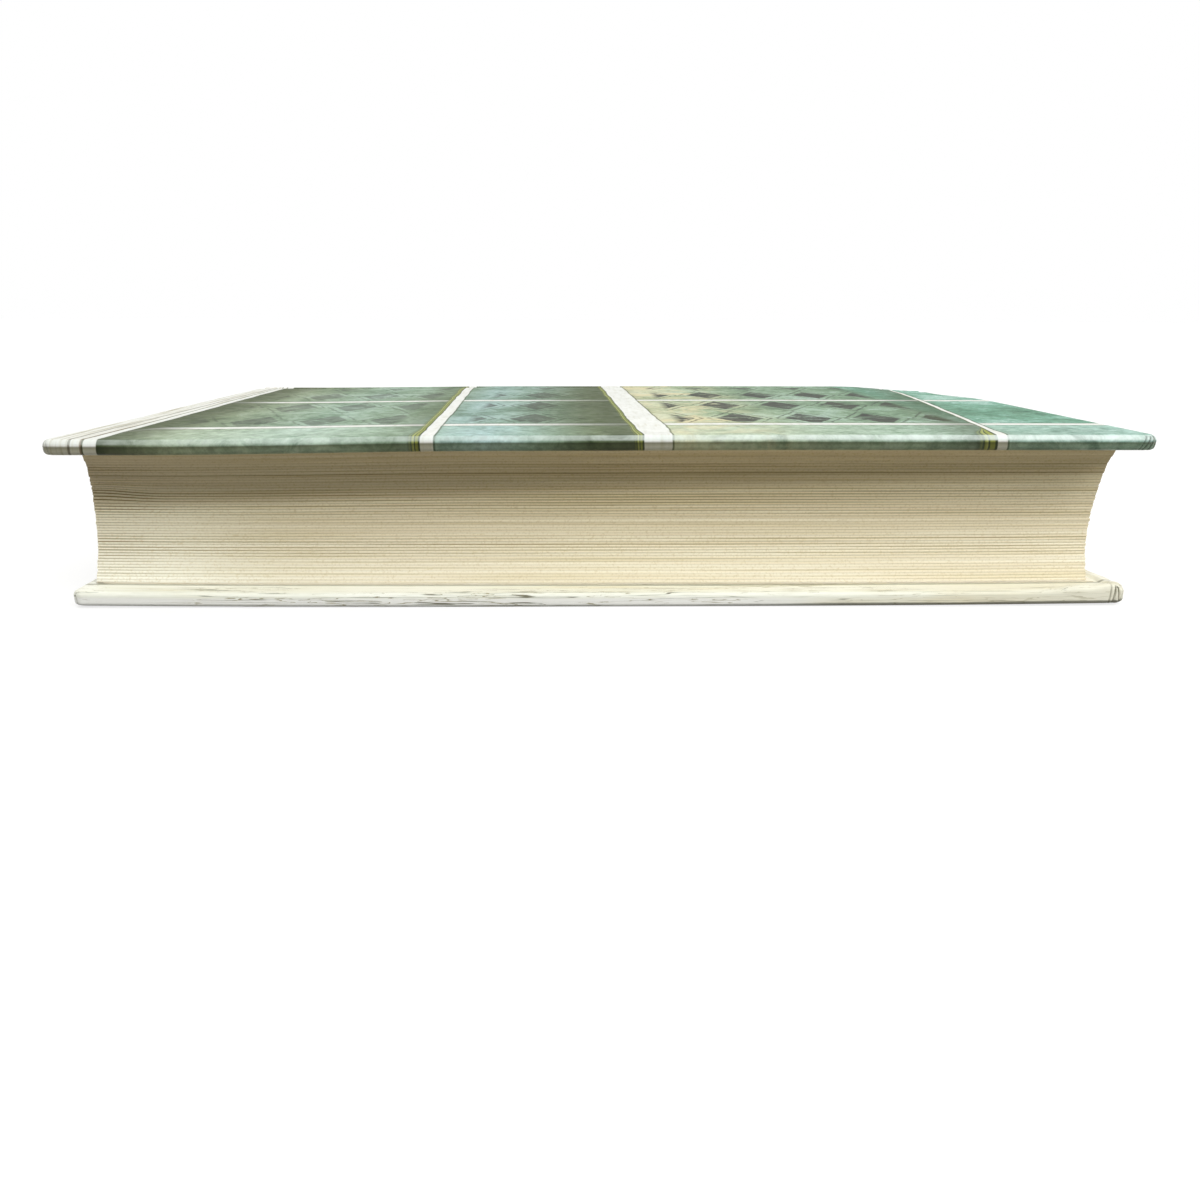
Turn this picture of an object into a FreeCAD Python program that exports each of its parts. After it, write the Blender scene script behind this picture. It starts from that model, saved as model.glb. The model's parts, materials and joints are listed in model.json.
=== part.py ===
"""Hardcover book, closed and lying on its back cover.

The book is case bound: a rounded and backed block of leaves hangs in a case of two greyboards, a thin
spine board and one printed sheet. Lengths are in millimetres.

Frame: X runs from the tail of the book to its head, -Y is the fore-edge side, +Y is the spine side, and
Z is up. The origin is under the middle of the closed book, on the surface it lies on.

Words used below:
  u      distance from the hinge line, towards the spine. It is negative over the leaves.
  w      height above the middle of the block of leaves.
  level  height above the outermost leaf, counted outwards, the same on the front and the back.
"""
import FreeCAD, Part
import math
import os

Vec = FreeCAD.Vector

# ---- leaves ----
leaf_height = 215.9       # 8 1/2 in, trimmed
leaf_width = 139.7        # 5 1/2 in, from the fore-edge to the fold
block_thick = 30.0        # all the leaves, with the two flyleaves
fore_hollow = 4.2         # how far the rounding draws the middle leaves in at the fore-edge
endpaper_thick = 0.15

# ---- backing: the shoulders that the outer leaves bend over ----
shoulder_out = 1.6
shoulder_height = 2.0
shoulder_root_radius = 1.0
shoulder_tip_radius = 0.6

# ---- case ----
board_thick = 2.75
card_thick = 0.8          # the spine board
sheet_thick = 0.20        # the printed and laminated cover sheet
square_ends = 4.0         # how far the boards stand out past the leaves at the head and the tail
square_fore = 6.5         # and past the outer leaves at the fore-edge
swing_clear = 0.8         # what a cover that is opened flat leaves free beside the spine
turn_in = 15.0            # how far the sheet is folded over inside
corner_radius = 2.5       # worn round corners of the boards, seen from above
edge_radius = 0.5         # worn round edges of the boards
mitre_gap = 0.25          # the open cut between two turn-ins at a corner

# ---- spine lining ----
cloth_thick = 0.20
cloth_flange = 26.0       # the cloth's width on each board
cloth_clear = 1.0         # from the cloth's end to the sheet's turn-in
liner_thick = 0.25
liner_short = 1.5         # the liner stops this far inside the leaves at each end
liner_margin = 1.2        # and this far from each shoulder's tip
bead_width = 1.6          # the bead of the head band and the tail band, across the leaves
bead_height = 1.5         # and how far it stands up from them
band_gap = 0.5            # from the band's tape to the cloth

# ---- clearances ----
film = 0.03               # glue between two layers
closing_gap = 0.05        # between a flyleaf and its pastedown when the book is shut
hollow_gap = 0.25         # air between the liner and the case
hinge_slit = 0.10         # where a sheet that both a cover and the block hold is parted
slit_margin = 0.85        # from the slit to the board's edge

# ---- the way the book has settled: the front board has crept towards the fore-edge ----
lean_fore = 3.0

# ---- levels of the layers on a board, counted outwards from the outermost leaf ----
paper_low = closing_gap
paper_high = paper_low + endpaper_thick
wrap_low = paper_high + film
wrap_high = wrap_low + max(sheet_thick, cloth_thick)
board_low = wrap_high
board_high = board_low + board_thick
cover_high = board_high + sheet_thick

# ---- levels of the layers on the spine, counted outwards from the back of the leaves ----
cloth_low = film
cloth_high = cloth_low + cloth_thick
liner_low = cloth_high + film
liner_high = liner_low + liner_thick
fold_low = liner_high + hollow_gap
fold_high = fold_low + sheet_thick
card_low = fold_high + film
card_high = card_low + card_thick
skin_low = card_high + film
skin_high = skin_low + sheet_thick

# ---- sizes that follow ----
leaf_half = leaf_height / 2
block_half = block_thick / 2
board_half = leaf_half + square_ends
sheet_half = board_half + sheet_thick
cloth_half = board_half - turn_in - cloth_clear
total_thick = block_thick + 2 * cover_high
z_middle = total_thick / 2
flank_length = math.hypot(shoulder_out, shoulder_height)
leaf_flat = leaf_width - flank_length          # an outer leaf, from the fore-edge to the hinge line
board_fore = leaf_flat + square_fore           # from the hinge line to the board's fore-edge
back_rise = fore_hollow + flank_length         # every leaf is as wide, so the rounding shows at both sides


# ---------------------------------------------------------------- paths in the cross-section

def across(u, w):
    """A point of the cross-section, moved by the lean."""
    return Vec(0, u - lean_fore * w / block_thick, z_middle + w)


def outward(way):
    """The left-hand normal. Every path runs so that this points out of the book."""
    return Vec(0, -way.z, way.y)


def meeting(start, way, other_start, other_way):
    """Where two lines of the cross-section cross."""
    gap = other_start - start
    slope = way.y * other_way.z - way.z * other_way.y
    reach = (gap.y * other_way.z - gap.z * other_way.y) / slope
    return start + way * reach


def moved_out(corners, levels):
    """The same path with each straight run moved outwards to its own level."""
    starts = []
    ways = []
    for first, second, level in zip(corners, corners[1:], levels):
        way = (second - first).normalize()
        ways.append(way)
        starts.append(first + outward(way) * level)
    moved = [starts[0]]
    for i in range(1, len(ways)):
        moved.append(meeting(starts[i - 1], ways[i - 1], starts[i], ways[i]))
    moved.append(corners[-1] + outward(ways[-1]) * levels[-1])
    return moved


def radii_at(corners, radii, levels):
    """Corner radii at the given levels: larger outwards on a bulge, smaller in a groove."""
    result = []
    for i, radius in enumerate(radii):
        into = corners[i + 1] - corners[i]
        out = corners[i + 2] - corners[i + 1]
        level = (levels[i] + levels[i + 1]) / 2
        turns_left = into.y * out.z - into.z * out.y > 0
        result.append(radius - level if turns_left else radius + level)
    return result


def rounded(corners, radii):
    """Edges of a path whose inner corners are rounded, line and arc in turn."""
    edges = []
    here = corners[0]
    for i, radius in enumerate(radii):
        corner = corners[i + 1]
        into = (corner - corners[i]).normalize()
        out = (corners[i + 2] - corner).normalize()
        half_turn = into.getAngle(out) / 2
        reach = radius * math.tan(half_turn)
        start = corner - into * reach
        end = corner + out * reach
        bulge = radius / math.cos(half_turn) - radius
        middle = corner + (out - into).normalize() * bulge
        edges.append(Part.LineSegment(here, start).toShape())
        edges.append(Part.Arc(start, middle, end).toShape())
        here = end
    edges.append(Part.LineSegment(here, corners[-1]).toShape())
    return edges


def layer_edges(path, levels):
    corners, radii = path
    return rounded(moved_out(corners, levels), radii_at(corners, radii, levels))


def first_point(edges):
    return edges[0].firstVertex(True).Point


def last_point(edges):
    return edges[-1].lastVertex(True).Point


def layer(path, low, high, x_from, x_to):
    """A sheet that follows a path, between two lists of levels and two places along the book."""
    inner = layer_edges(path, low)
    outer = layer_edges(path, high)
    sides = [Part.LineSegment(first_point(inner), first_point(outer)).toShape(),
             Part.LineSegment(last_point(inner), last_point(outer)).toShape()]
    face = Part.Face(Part.Wire(Part.__sortEdges__(inner + outer + sides)))
    return moved_x(face.extrude(Vec(x_to - x_from, 0, 0)), x_from)


def moved_x(shape, x):
    shape.translate(Vec(x, 0, 0))
    return shape


def back_shape():
    """The radius of the rounded back, and the two corners of the straight lines that touch it."""
    half_back = block_half + shoulder_height
    depth = back_rise - shoulder_out
    radius = (half_back ** 2 + depth ** 2) / (2 * depth)
    straight = 2 * shoulder_tip_radius + lean_fore / 2
    swing = math.asin((half_back - straight) / radius)
    crown = Vec(0, back_rise - radius + radius / math.cos(swing), 0)
    along = Vec(0, -math.sin(swing), math.cos(swing))
    flank = Vec(0, shoulder_out, shoulder_height)
    tip = meeting(Vec(0, 0, block_half), flank, crown, along)
    return radius, crown, tip


back_radius, crown, tip = back_shape()


def groove_width():
    """From the hinge line to the board's near edge: enough for the board to lie beside the open spine."""
    first = across(tip.y, tip.z)
    middle = across(crown.y, 0)
    last = across(tip.y, -tip.z)
    into = (middle - first).normalize()
    out = (last - middle).normalize()
    half_turn = into.getAngle(out) / 2
    centre = middle + (out - into).normalize() * (back_radius / math.cos(half_turn))
    widths = []
    for side in (-1, 1):
        height = across(0, side * (block_half - cover_high)).z - centre.z
        bulge = centre.y + math.sqrt((back_radius + skin_high) ** 2 - height ** 2)
        widths.append(bulge - hinge_y(side))
    return max(widths) + swing_clear + sheet_thick


def hinge_y(side):
    return across(0, side * block_half).y


joint_gap = groove_width()
slit_cover = joint_gap - slit_margin           # a cover's layers end here
slit_block = slit_cover - hinge_slit           # and the block's begin


def spine_path(start):
    """Over the whole spine, from `start` before the front hinge line to `start` past the back one."""
    corners = [across(-start, block_half),
               across(0, block_half),
               across(tip.y, tip.z),
               across(crown.y, 0),
               across(tip.y, -tip.z),
               across(0, -block_half),
               across(-start, -block_half)]
    radii = [shoulder_root_radius, shoulder_tip_radius, back_radius, shoulder_tip_radius,
             shoulder_root_radius]
    return corners, radii


def spine_levels(joint, spine):
    """Levels for the six runs of a spine path: groove, shoulder, two of the back, shoulder, groove."""
    return [joint, joint, spine, spine, joint, joint]


def back_path(margin):
    """Over the rounded back alone, from `margin` inside one shoulder's tip to the other."""
    corners, radii = spine_path(leaf_flat)
    first, middle, last = corners[2:5]
    start = first + (middle - first).normalize() * margin
    end = last + (middle - last).normalize() * margin
    return [start, middle, end], [radii[2]]


def shoulder_path(side, start):
    """From `start` before the hinge line to just under the shoulder's tip, on one side of the block."""
    root = across(0, side * block_half)
    way = across(tip.y, side * tip.z) - root
    length = way.Length - 2 * shoulder_tip_radius
    end = root + way.normalize() * length
    corners = [across(-start, side * block_half), root, end]
    if side < 0:
        corners.reverse()
    return corners, [shoulder_root_radius]


# ---------------------------------------------------------------- the block of leaves

def text_block():
    """All the leaves: flat faces, shoulders, rounded back and hollow fore-edge."""
    edges = layer_edges(spine_path(leaf_flat), spine_levels(-endpaper_thick, 0))
    hollow = across(fore_hollow - leaf_flat, 0)
    edges.append(Part.Arc(last_point(edges), hollow, first_point(edges)).toShape())
    face = Part.Face(Part.Wire(Part.__sortEdges__(edges)))
    return moved_x(face.extrude(Vec(leaf_height, 0, 0)), -leaf_half)


def flyleaf(side):
    """The free half of an endpaper, its fold at the shoulder, and its strip over the joint."""
    free = layer(shoulder_path(side, leaf_flat), [-endpaper_thick] * 2, [0, 0], -leaf_half, leaf_half)
    strip = layer(shoulder_path(side, slit_block), [paper_low] * 2, [paper_high] * 2,
                  -leaf_half, leaf_half)
    corners, _ = shoulder_path(side, slit_block)
    end, root = (corners[2], corners[1]) if side > 0 else (corners[0], corners[1])
    fold_start = end + (root - end).normalize() * endpaper_thick
    fold_line = [fold_start, end] if side > 0 else [end, fold_start]
    fold = layer((fold_line, []), [-endpaper_thick], [paper_high], -leaf_half, leaf_half)
    return free.multiFuse([strip, fold]).removeSplitter()


def spine_cloth():
    """The cloth over the back of the leaves, the shoulders and both joints."""
    return layer(spine_path(slit_block), spine_levels(wrap_low, cloth_low),
                 spine_levels(wrap_low + cloth_thick, cloth_high), -cloth_half, cloth_half)


def spine_liner():
    return layer(back_path(liner_margin), [liner_low] * 2, [liner_high] * 2,
                 liner_short - leaf_half, leaf_half - liner_short)


def end_band(end):
    """A beaded band at one end of the spine: a tape on the back of the leaves, and the bead on their end."""
    path = back_path(liner_margin)
    bead_low = [cloth_high - bead_width] * 2
    bead_high = [cloth_high] * 2
    seat = leaf_half + film
    tape = layer(path, [cloth_low] * 2, bead_high, cloth_half + band_gap, seat)
    bead = layer(path, bead_low, bead_high, seat, seat + bead_height)
    crest = [edge for edge in bead.Edges if edge.BoundBox.XMin > seat + bead_height - 1e-6]
    long_edges = [edge for edge in crest if edge.Length > bead_width + 1e-6]
    bead = bead.makeFillet(bead_width / 2 - film, long_edges)
    band = tape.fuse(bead).removeSplitter()
    return band if end > 0 else band.mirror(Vec(0, 0, 0), Vec(1, 0, 0))


# ---------------------------------------------------------------- the case over the spine

def spine_board():
    return layer(back_path(liner_margin), [card_low] * 2, [card_high] * 2, -board_half, board_half)


def spine_sheet():
    """The cover sheet from one groove over the spine to the other, folded in at the head and the tail."""
    path = spine_path(slit_block)
    fold_in = spine_levels(wrap_low, fold_low)
    fold_out = spine_levels(wrap_high, fold_high)
    skin_in = spine_levels(wrap_high, skin_low)
    skin_out = spine_levels(wrap_high + sheet_thick, skin_high)
    pieces = [layer(path, skin_in, skin_out, -sheet_half, sheet_half)]
    for end in (-1, 1):
        inside = sorted((end * (board_half - turn_in), end * sheet_half))
        edge = sorted((end * board_half, end * sheet_half))
        pieces.append(layer(path, fold_in, fold_out, *inside))
        pieces.append(layer(path, fold_in, skin_out, *edge))
    return pieces[0].multiFuse(pieces[1:]).removeSplitter()


# ---------------------------------------------------------------- a cover, drawn as the front one

def plate(x_half, u_from, u_to, low, high):
    """A flat box on the block: u across it, and levels counted up from the outermost leaf."""
    size = Vec(2 * x_half, u_to - u_from, high - low)
    corner = Vec(-x_half, u_from, z_middle + block_half + low)
    return Part.makeBox(size.x, size.y, size.z, corner)


def rim(shape, z, y_stop):
    """The edges of a flat solid that lie at one height and start before `y_stop`."""
    found = []
    for edge in shape.Edges:
        box = edge.BoundBox
        if abs(box.ZMin - z) < 1e-6 and abs(box.ZMax - z) < 1e-6 and box.YMin < y_stop - 1e-6:
            found.append(edge)
    return found


def fore_corners(shape, y):
    """The two upright edges at the fore-edge."""
    found = []
    for edge in shape.Edges:
        box = edge.BoundBox
        if abs(box.YMin - y) < 1e-6 and abs(box.YMax - y) < 1e-6 and box.ZLength > 2 * box.XLength:
            found.append(edge)
    return found


def soft_plate(grow, low, high):
    """The board's outline grown by `grow`, with worn corners and edges. The joint side is left sharp."""
    u_from = -board_fore - grow
    u_to = -joint_gap + grow
    box = plate(board_half + grow, u_from, u_to, low, high)
    box = box.makeFillet(corner_radius + grow, fore_corners(box, u_from))
    top = z_middle + block_half + high
    bottom = z_middle + block_half + low
    radius = edge_radius + grow
    box = box.makeFillet(radius, rim(box, top, u_to + 1))
    return box.makeFillet(radius, rim(box, bottom, u_to))


def board():
    return soft_plate(0, board_low, board_high)


def corner_slot(end):
    """The open diagonal cut between the head or tail turn-in and the fore-edge turn-in."""
    length = 2 * turn_in
    slot = Part.makeBox(length, mitre_gap, wrap_high - wrap_low,
                        Vec(0, -mitre_gap / 2, z_middle + block_half + wrap_low))
    slot.rotate(Vec(0, 0, 0), Vec(0, 0, 1), 45)
    slot.translate(Vec(-board_half + corner_radius, -board_fore + corner_radius, 0))
    return slot if end < 0 else slot.mirror(Vec(0, 0, 0), Vec(1, 0, 0))


def cover_sheet():
    """The cover sheet on one board: outer face, four edges, turn-ins, and its lip in the groove."""
    skin = soft_plate(sheet_thick, wrap_low, cover_high)
    pocket = plate(board_half - turn_in, turn_in - board_fore, 0, wrap_low, wrap_high)
    skin = skin.cut(board()).cut(pocket)
    for end in (-1, 1):
        skin = skin.cut(corner_slot(end))
    lip = plate(sheet_half, -joint_gap, -slit_cover, wrap_high, wrap_high + sheet_thick)
    folds = [lip]
    for end in (-1, 1):
        fold = plate((turn_in + sheet_thick) / 2, -joint_gap, -slit_cover, wrap_low,
                     wrap_high + sheet_thick)
        folds.append(moved_x(fold, end * (sheet_half - (turn_in + sheet_thick) / 2)))
    return skin.multiFuse(folds).removeSplitter()


def pastedown():
    """The glued half of an endpaper. It sinks on to the board inside the turn-ins and the cloth."""
    sunk_x = board_half - turn_in
    sunk_from = turn_in - board_fore
    sunk_to = -joint_gap - cloth_flange
    flat = plate(leaf_half, -leaf_flat, -slit_cover, paper_low, paper_high)
    drop = plate(sunk_x, sunk_from, sunk_to, paper_low, wrap_high)
    hollow = plate(sunk_x - endpaper_thick, sunk_from + endpaper_thick, sunk_to - endpaper_thick,
                   paper_low, wrap_high - endpaper_thick)
    return flat.fuse(drop).cut(hollow).removeSplitter()


def flange():
    """The spine cloth's edge on one board, under the pastedown."""
    return plate(cloth_half, -joint_gap - cloth_flange, -slit_cover, wrap_low, wrap_low + cloth_thick)


def placed(shape, side):
    """Set a piece of the front cover on its side of the leaned block."""
    if side < 0:
        shape = shape.mirror(Vec(0, 0, z_middle), Vec(0, 0, 1))
    shape.translate(Vec(0, hinge_y(side), 0))
    return shape


# ---------------------------------------------------------------- the whole book

def outermost_y():
    """The farthest point of the spine sheet."""
    edges = layer_edges(spine_path(slit_block), spine_levels(wrap_high + sheet_thick, skin_high))
    return max(edge.BoundBox.YMax for edge in edges)


def book():
    """Every node's shape by name, with the frame's origin still on the middle hinge line."""
    shapes = {"text_block": text_block(),
              "spine_cloth": spine_cloth(),
              "spine_liner": spine_liner(),
              "head_band": end_band(1),
              "tail_band": end_band(-1),
              "spine_board": spine_board(),
              "spine_sheet": spine_sheet()}
    for name, side in (("front", 1), ("back", -1)):
        shapes[name + "_flyleaf"] = flyleaf(side)
        shapes[name + "_board"] = placed(board(), side)
        shapes[name + "_cover_sheet"] = placed(cover_sheet(), side)
        shapes[name + "_pastedown"] = placed(pastedown(), side)
        shapes[name + "_cloth_flange"] = placed(flange(), side)
    return shapes


def main():
    nearest = hinge_y(1) - board_fore - sheet_thick
    shift = -(nearest + outermost_y()) / 2
    os.makedirs("parts", exist_ok=True)
    for name, shape in book().items():
        shape.translate(Vec(0, shift, 0))
        shape.exportStep("parts/" + name + ".step")
        print(name, "solids", len(shape.Solids), "valid", shape.isValid(), "volume", round(shape.Volume, 1))
    print("front hinge y z", round(hinge_y(1) + shift, 4), round(z_middle + block_half, 4))
    print("back hinge y z", round(hinge_y(-1) + shift, 4), round(z_middle - block_half, 4))
    print("groove width", round(joint_gap, 3), "total thickness", round(total_thick, 3))


main()
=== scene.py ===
# %% [markdown]
# # A hardcover book, in Blender
# The book is case bound: a rounded block of leaves hangs in a case of two greyboards, a thin spine
# board and one printed, laminated sheet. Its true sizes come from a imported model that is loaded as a
# fixed frame, so nothing here has to be fitted. This lesson builds the surfaces that the eye meets:
# the cut edges of the leaves, the endpapers, and the cover sheet with its rounded edges and folds.

# %% Load the frame
import json
import math
import random
from functools import partial

import bmesh
import bpy
from mathutils import Matrix, Vector, noise


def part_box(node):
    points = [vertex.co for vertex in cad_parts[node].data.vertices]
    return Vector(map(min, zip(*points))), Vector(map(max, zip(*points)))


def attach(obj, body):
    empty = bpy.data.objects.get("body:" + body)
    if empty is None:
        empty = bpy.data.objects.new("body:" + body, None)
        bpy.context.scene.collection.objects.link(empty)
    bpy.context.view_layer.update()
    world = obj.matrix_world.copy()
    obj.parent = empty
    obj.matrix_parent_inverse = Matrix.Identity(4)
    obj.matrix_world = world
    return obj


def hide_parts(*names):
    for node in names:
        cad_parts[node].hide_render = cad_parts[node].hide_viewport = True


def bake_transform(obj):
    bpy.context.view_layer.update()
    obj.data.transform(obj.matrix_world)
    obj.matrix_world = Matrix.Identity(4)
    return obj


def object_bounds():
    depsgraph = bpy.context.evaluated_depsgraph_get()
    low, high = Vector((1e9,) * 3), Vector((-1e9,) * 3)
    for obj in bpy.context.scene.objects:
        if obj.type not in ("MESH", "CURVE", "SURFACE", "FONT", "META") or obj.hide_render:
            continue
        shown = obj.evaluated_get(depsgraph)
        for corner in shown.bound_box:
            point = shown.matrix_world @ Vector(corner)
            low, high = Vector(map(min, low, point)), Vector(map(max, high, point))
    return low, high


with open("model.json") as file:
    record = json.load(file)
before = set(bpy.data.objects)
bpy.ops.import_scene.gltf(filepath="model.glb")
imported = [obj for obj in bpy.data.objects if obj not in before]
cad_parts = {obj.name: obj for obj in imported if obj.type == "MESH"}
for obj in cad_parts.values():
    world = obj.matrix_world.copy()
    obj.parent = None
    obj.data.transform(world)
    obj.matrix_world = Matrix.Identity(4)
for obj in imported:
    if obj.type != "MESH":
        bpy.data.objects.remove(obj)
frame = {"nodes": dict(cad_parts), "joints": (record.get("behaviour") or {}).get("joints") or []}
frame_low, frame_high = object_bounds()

MM = 0.001
size_mm = [round(span / MM, 1) for span in frame_high - frame_low]
print("frame", size_mm, "mm, nodes", len(frame["nodes"]))

# %% [markdown]
# ## Camera
# The book is seen from its fore-edge, a little from above. The lens is wide and close, so the near
# edge of the front board looks much longer than the far one. The camera's axes are written as a
# matrix, because a small roll is easier to read there.

# %% The camera
PITCH, YAW, ROLL = (math.radians(angle) for angle in (16.32, 1.26, 0.21))
LENS_MM = 29.1
EYE = Vector((-5.33, -271.4, 59.4)) * MM

camera = bpy.data.objects.new("fore_edge_view", bpy.data.cameras.new("fore_edge_view"))
camera.data.lens = LENS_MM
camera.data.clip_start = 0.01
forward = Vector((math.sin(YAW) * math.cos(PITCH), math.cos(YAW) * math.cos(PITCH), -math.sin(PITCH)))
level_right = Vector((math.cos(YAW), -math.sin(YAW), 0))
level_up = level_right.cross(forward)
right = level_right * math.cos(ROLL) + level_up * math.sin(ROLL)
up = level_up * math.cos(ROLL) - level_right * math.sin(ROLL)
camera.matrix_world = (
    Matrix.Translation(EYE) @ Matrix((right, up, -forward)).transposed().to_4x4())
bpy.context.scene.collection.objects.link(camera)
bpy.context.scene.camera = camera
print("camera looks along", [round(value, 3) for value in forward])

# %% [markdown]
# ## Adding nodes
# Every finish below is a tree of nodes. One function adds a node with its settings and links, so that
# a material reads as a list of what it is made of. Colours are the sRGB hex values of a paint
# program, and one function turns them to linear light. Every finish reads its place in millimetres,
# so a noise of scale 1 / 5 has features of about five millimetres.
#
# Inputs are given in the order in which the node shows them. A noise has its place, scale, detail,
# roughness, lacunarity and distortion. A map range has its value, from and to, and then the result
# at each of the two. A mix has its factor and the two things that it mixes.

# %% Helpers for the finishes
def linear(hex_colour, alpha=1.0):
    """A colour such as #a9c4b6 as linear red, green, blue and alpha."""
    values = [int(hex_colour[place:place + 2], 16) / 255 for place in (1, 3, 5)]
    return [value / 12.92 if value <= 0.04045 else ((value + 0.055) / 1.055) ** 2.4
            for value in values] + [alpha]


# what the second word of a kind of node sets, as in "Math ADD"
SECOND_WORD = {"Math": "operation", "VectorMath": "operation", "Mix": "data_type",
               "MapRange": "interpolation_type"}
SMOOTH = "MapRange SMOOTHSTEP"                         # a rise with no corner at its ends


def add_node(tree, kind, inputs=(), stops=(), out=None, **settings):
    """Adds a node, sets or links its inputs, and returns its first output or the one named.

    Inputs come in the order of the sockets that the node shows, or as a dict by name. Each is a
    number, a colour or another node's output. Stops are the places and colours along a ramp.
    """
    kind, _, word = kind.partition(" ")
    node = tree.nodes.new("ShaderNode" + kind)
    if word:
        settings[SECOND_WORD[kind]] = word
    for name, value in settings.items():
        setattr(node, name, value)
    sockets = [socket for socket in node.inputs if socket.enabled]
    if isinstance(inputs, dict):
        sockets, inputs = [node.inputs[name] for name in inputs], inputs.values()
    for socket, value in zip(sockets, inputs):
        if isinstance(value, bpy.types.NodeSocket):
            tree.links.new(value, socket)
        else:
            socket.default_value = linear(value) if isinstance(value, str) else value
    for number, (place, colour) in enumerate(stops):
        elements = node.color_ramp.elements
        while len(elements) < len(stops):
            elements.new(0.5)
        elements[number].position = place
        elements[number].color = linear(colour) if isinstance(colour, str) else colour
    return node.outputs[out] if out else next(socket for socket in node.outputs if socket.enabled)


def new_finish(name, roughness, values=()):
    """A material with one Principled shader. Returns it, a function that adds nodes, and the shader."""
    material = bpy.data.materials.new(name)
    material.use_nodes = True
    shader = material.node_tree.nodes["Principled BSDF"]
    for socket, value in {"Roughness": roughness, "IOR": 1.5, **dict(values)}.items():
        shader.inputs[socket].default_value = value
    return material, partial(add_node, material.node_tree), shader


def rest_place(add):
    """The point's place in the square book in mm, whole and as x, y and z."""
    place = add("Attribute", attribute_name="rest", out="Vector")
    return place, *add("SeparateXYZ", (place,)).node.outputs


def dress(add, shader, colour, relief, strength, depth):
    """Links the colour, and a bump made of the relief. The depth is in mm."""
    links = shader.id_data.links
    links.new(colour, shader.inputs["Base Color"])
    bump = add("Bump", {"Height": relief, "Strength": strength, "Distance": depth * MM})
    links.new(bump, shader.inputs["Normal"])


def fade(add, mask, *rise, kind=SMOOTH):
    """A mask times a rise: (value, from, to, result at from, result at to), 0 to 1 if not said."""
    return add("Math MULTIPLY", (mask, add(kind, rise)))


def coated(add, colour, *coats):
    """The colour under coats, each a mask or a strength and a tint, the last on top."""
    for mask, tint in coats:
        colour = add("Mix RGBA", (mask, colour, tint))
    return colour


def away_from(add, value, place):
    """How far a value is from a place, either way."""
    return add("Math ABSOLUTE", (add("Math SUBTRACT", (value, place)),))


print("verdigris in linear light", [round(value, 3) for value in linear("#a9c4b6")])

# %% [markdown]
# ## How the book has settled
# A used book is never quite square. The front board droops at its tail and at the far head corner.
# The block has swung towards the tail at the bottom, its top leaves have slid back, and the back
# board is bowed, with its ends up. One function moves any point, and every piece passes through it,
# so the layers stay on each other. The square place stays with the point as the attribute "rest", in
# millimetres. The finishes read that, so no pattern slides or stretches when a cover opens.

# %% The settled shape
LEAF_LOW, LEAF_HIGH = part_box("text_block")
SHEET_LOW, SHEET_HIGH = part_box("front_cover_sheet")
BACK_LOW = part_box("back_cover_sheet")[0]
COVERS = (("front_cover", 1), ("back_cover", -1))      # 1 is up
HINGE = {joint["child"]: Vector(joint["pos_m"]) for joint in frame["joints"]}
BLOCK_LOW = HINGE["back_cover"].z          # the planes between the leaves and the covers
BLOCK_HIGH = HINGE["front_cover"].z
TAIL_DROOP, FAR_TAIL_DROOP, HEAD_DROOP = 1.15 * MM, 0.75 * MM, 1.5 * MM
END_RISE, SWING, SLID_BACK = 0.5 * MM, 1.6 * MM, 1.2 * MM


def ease(value, start, end):
    """0 before start, 1 after end, and smooth between them. Start may be the larger one."""
    share = min(1.0, max(0.0, (value - start) / (end - start)))
    return share * share * (3 - 2 * share)


def settled(point, of_block=0.0):
    """Where a point of the square book lies in the used one. of_block is 1 for the leaves."""
    x, y, z = point
    level = min(1.0, max(0.0, (z - BLOCK_LOW) / (BLOCK_HIGH - BLOCK_LOW)))
    tail = 0.8 * ease(x, -20 * MM, -96 * MM) + 0.2 * ease(x, 40 * MM, -20 * MM)
    far = ease(y, -60 * MM, 58 * MM)
    droop = tail * (TAIL_DROOP + (FAR_TAIL_DROOP - TAIL_DROOP) * far)
    droop += HEAD_DROOP * ease(x, 84 * MM, 112 * MM) * ease(y, 5 * MM, 57 * MM)
    rise = END_RISE * (abs(x) / SHEET_HIGH.x) ** 3
    swing = of_block * SWING * (1 - level ** 2) * ease(y, 66 * MM, -60 * MM)
    slide = of_block * SLID_BACK * ease(level, 0.5, 1.0) * ease(y, 20 * MM, -66 * MM)
    return Vector((x - swing, y + slide, z + rise * (1 - level) - droop * level ** 1.5))


def settle(mesh, of_block=0.0):
    """Moves a bmesh to its settled place and keeps the square one, in mm, as the attribute "rest"."""
    rest = mesh.verts.layers.float_vector.new("rest")
    for vert in mesh.verts:
        vert[rest] = vert.co / MM
        vert.co = settled(vert.co, of_block)


for corner in ((-0.11, -0.07, BLOCK_HIGH), (0.11, 0.055, BLOCK_HIGH), (0.11, -0.07, 0)):
    moved = settled(corner) - Vector(corner)
    print("corner", corner, "moves", [round(value / MM, 2) for value in moved])

# %% [markdown]
# ## Reading the frame's outline
# The leaves follow the frame's cross-section exactly: the hollow fore-edge, the shoulders and the
# rounded back. Instead of writing those curves again, a plane cuts a copy of a node and leaves only
# the edges of the cut, which are then walked round in order.

# %% Outlines and new objects
def slice_mesh(mesh, axis, place, geometry=(), **settings):
    """Cuts a bmesh, or only the geometry given, by the plane across one axis."""
    normal = Vector([float(number == axis) for number in range(3)])
    geometry = geometry or mesh.verts[:] + mesh.edges[:] + mesh.faces[:]
    bmesh.ops.bisect_plane(
        mesh, geom=geometry, plane_co=normal * place, plane_no=normal, **settings)


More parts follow.
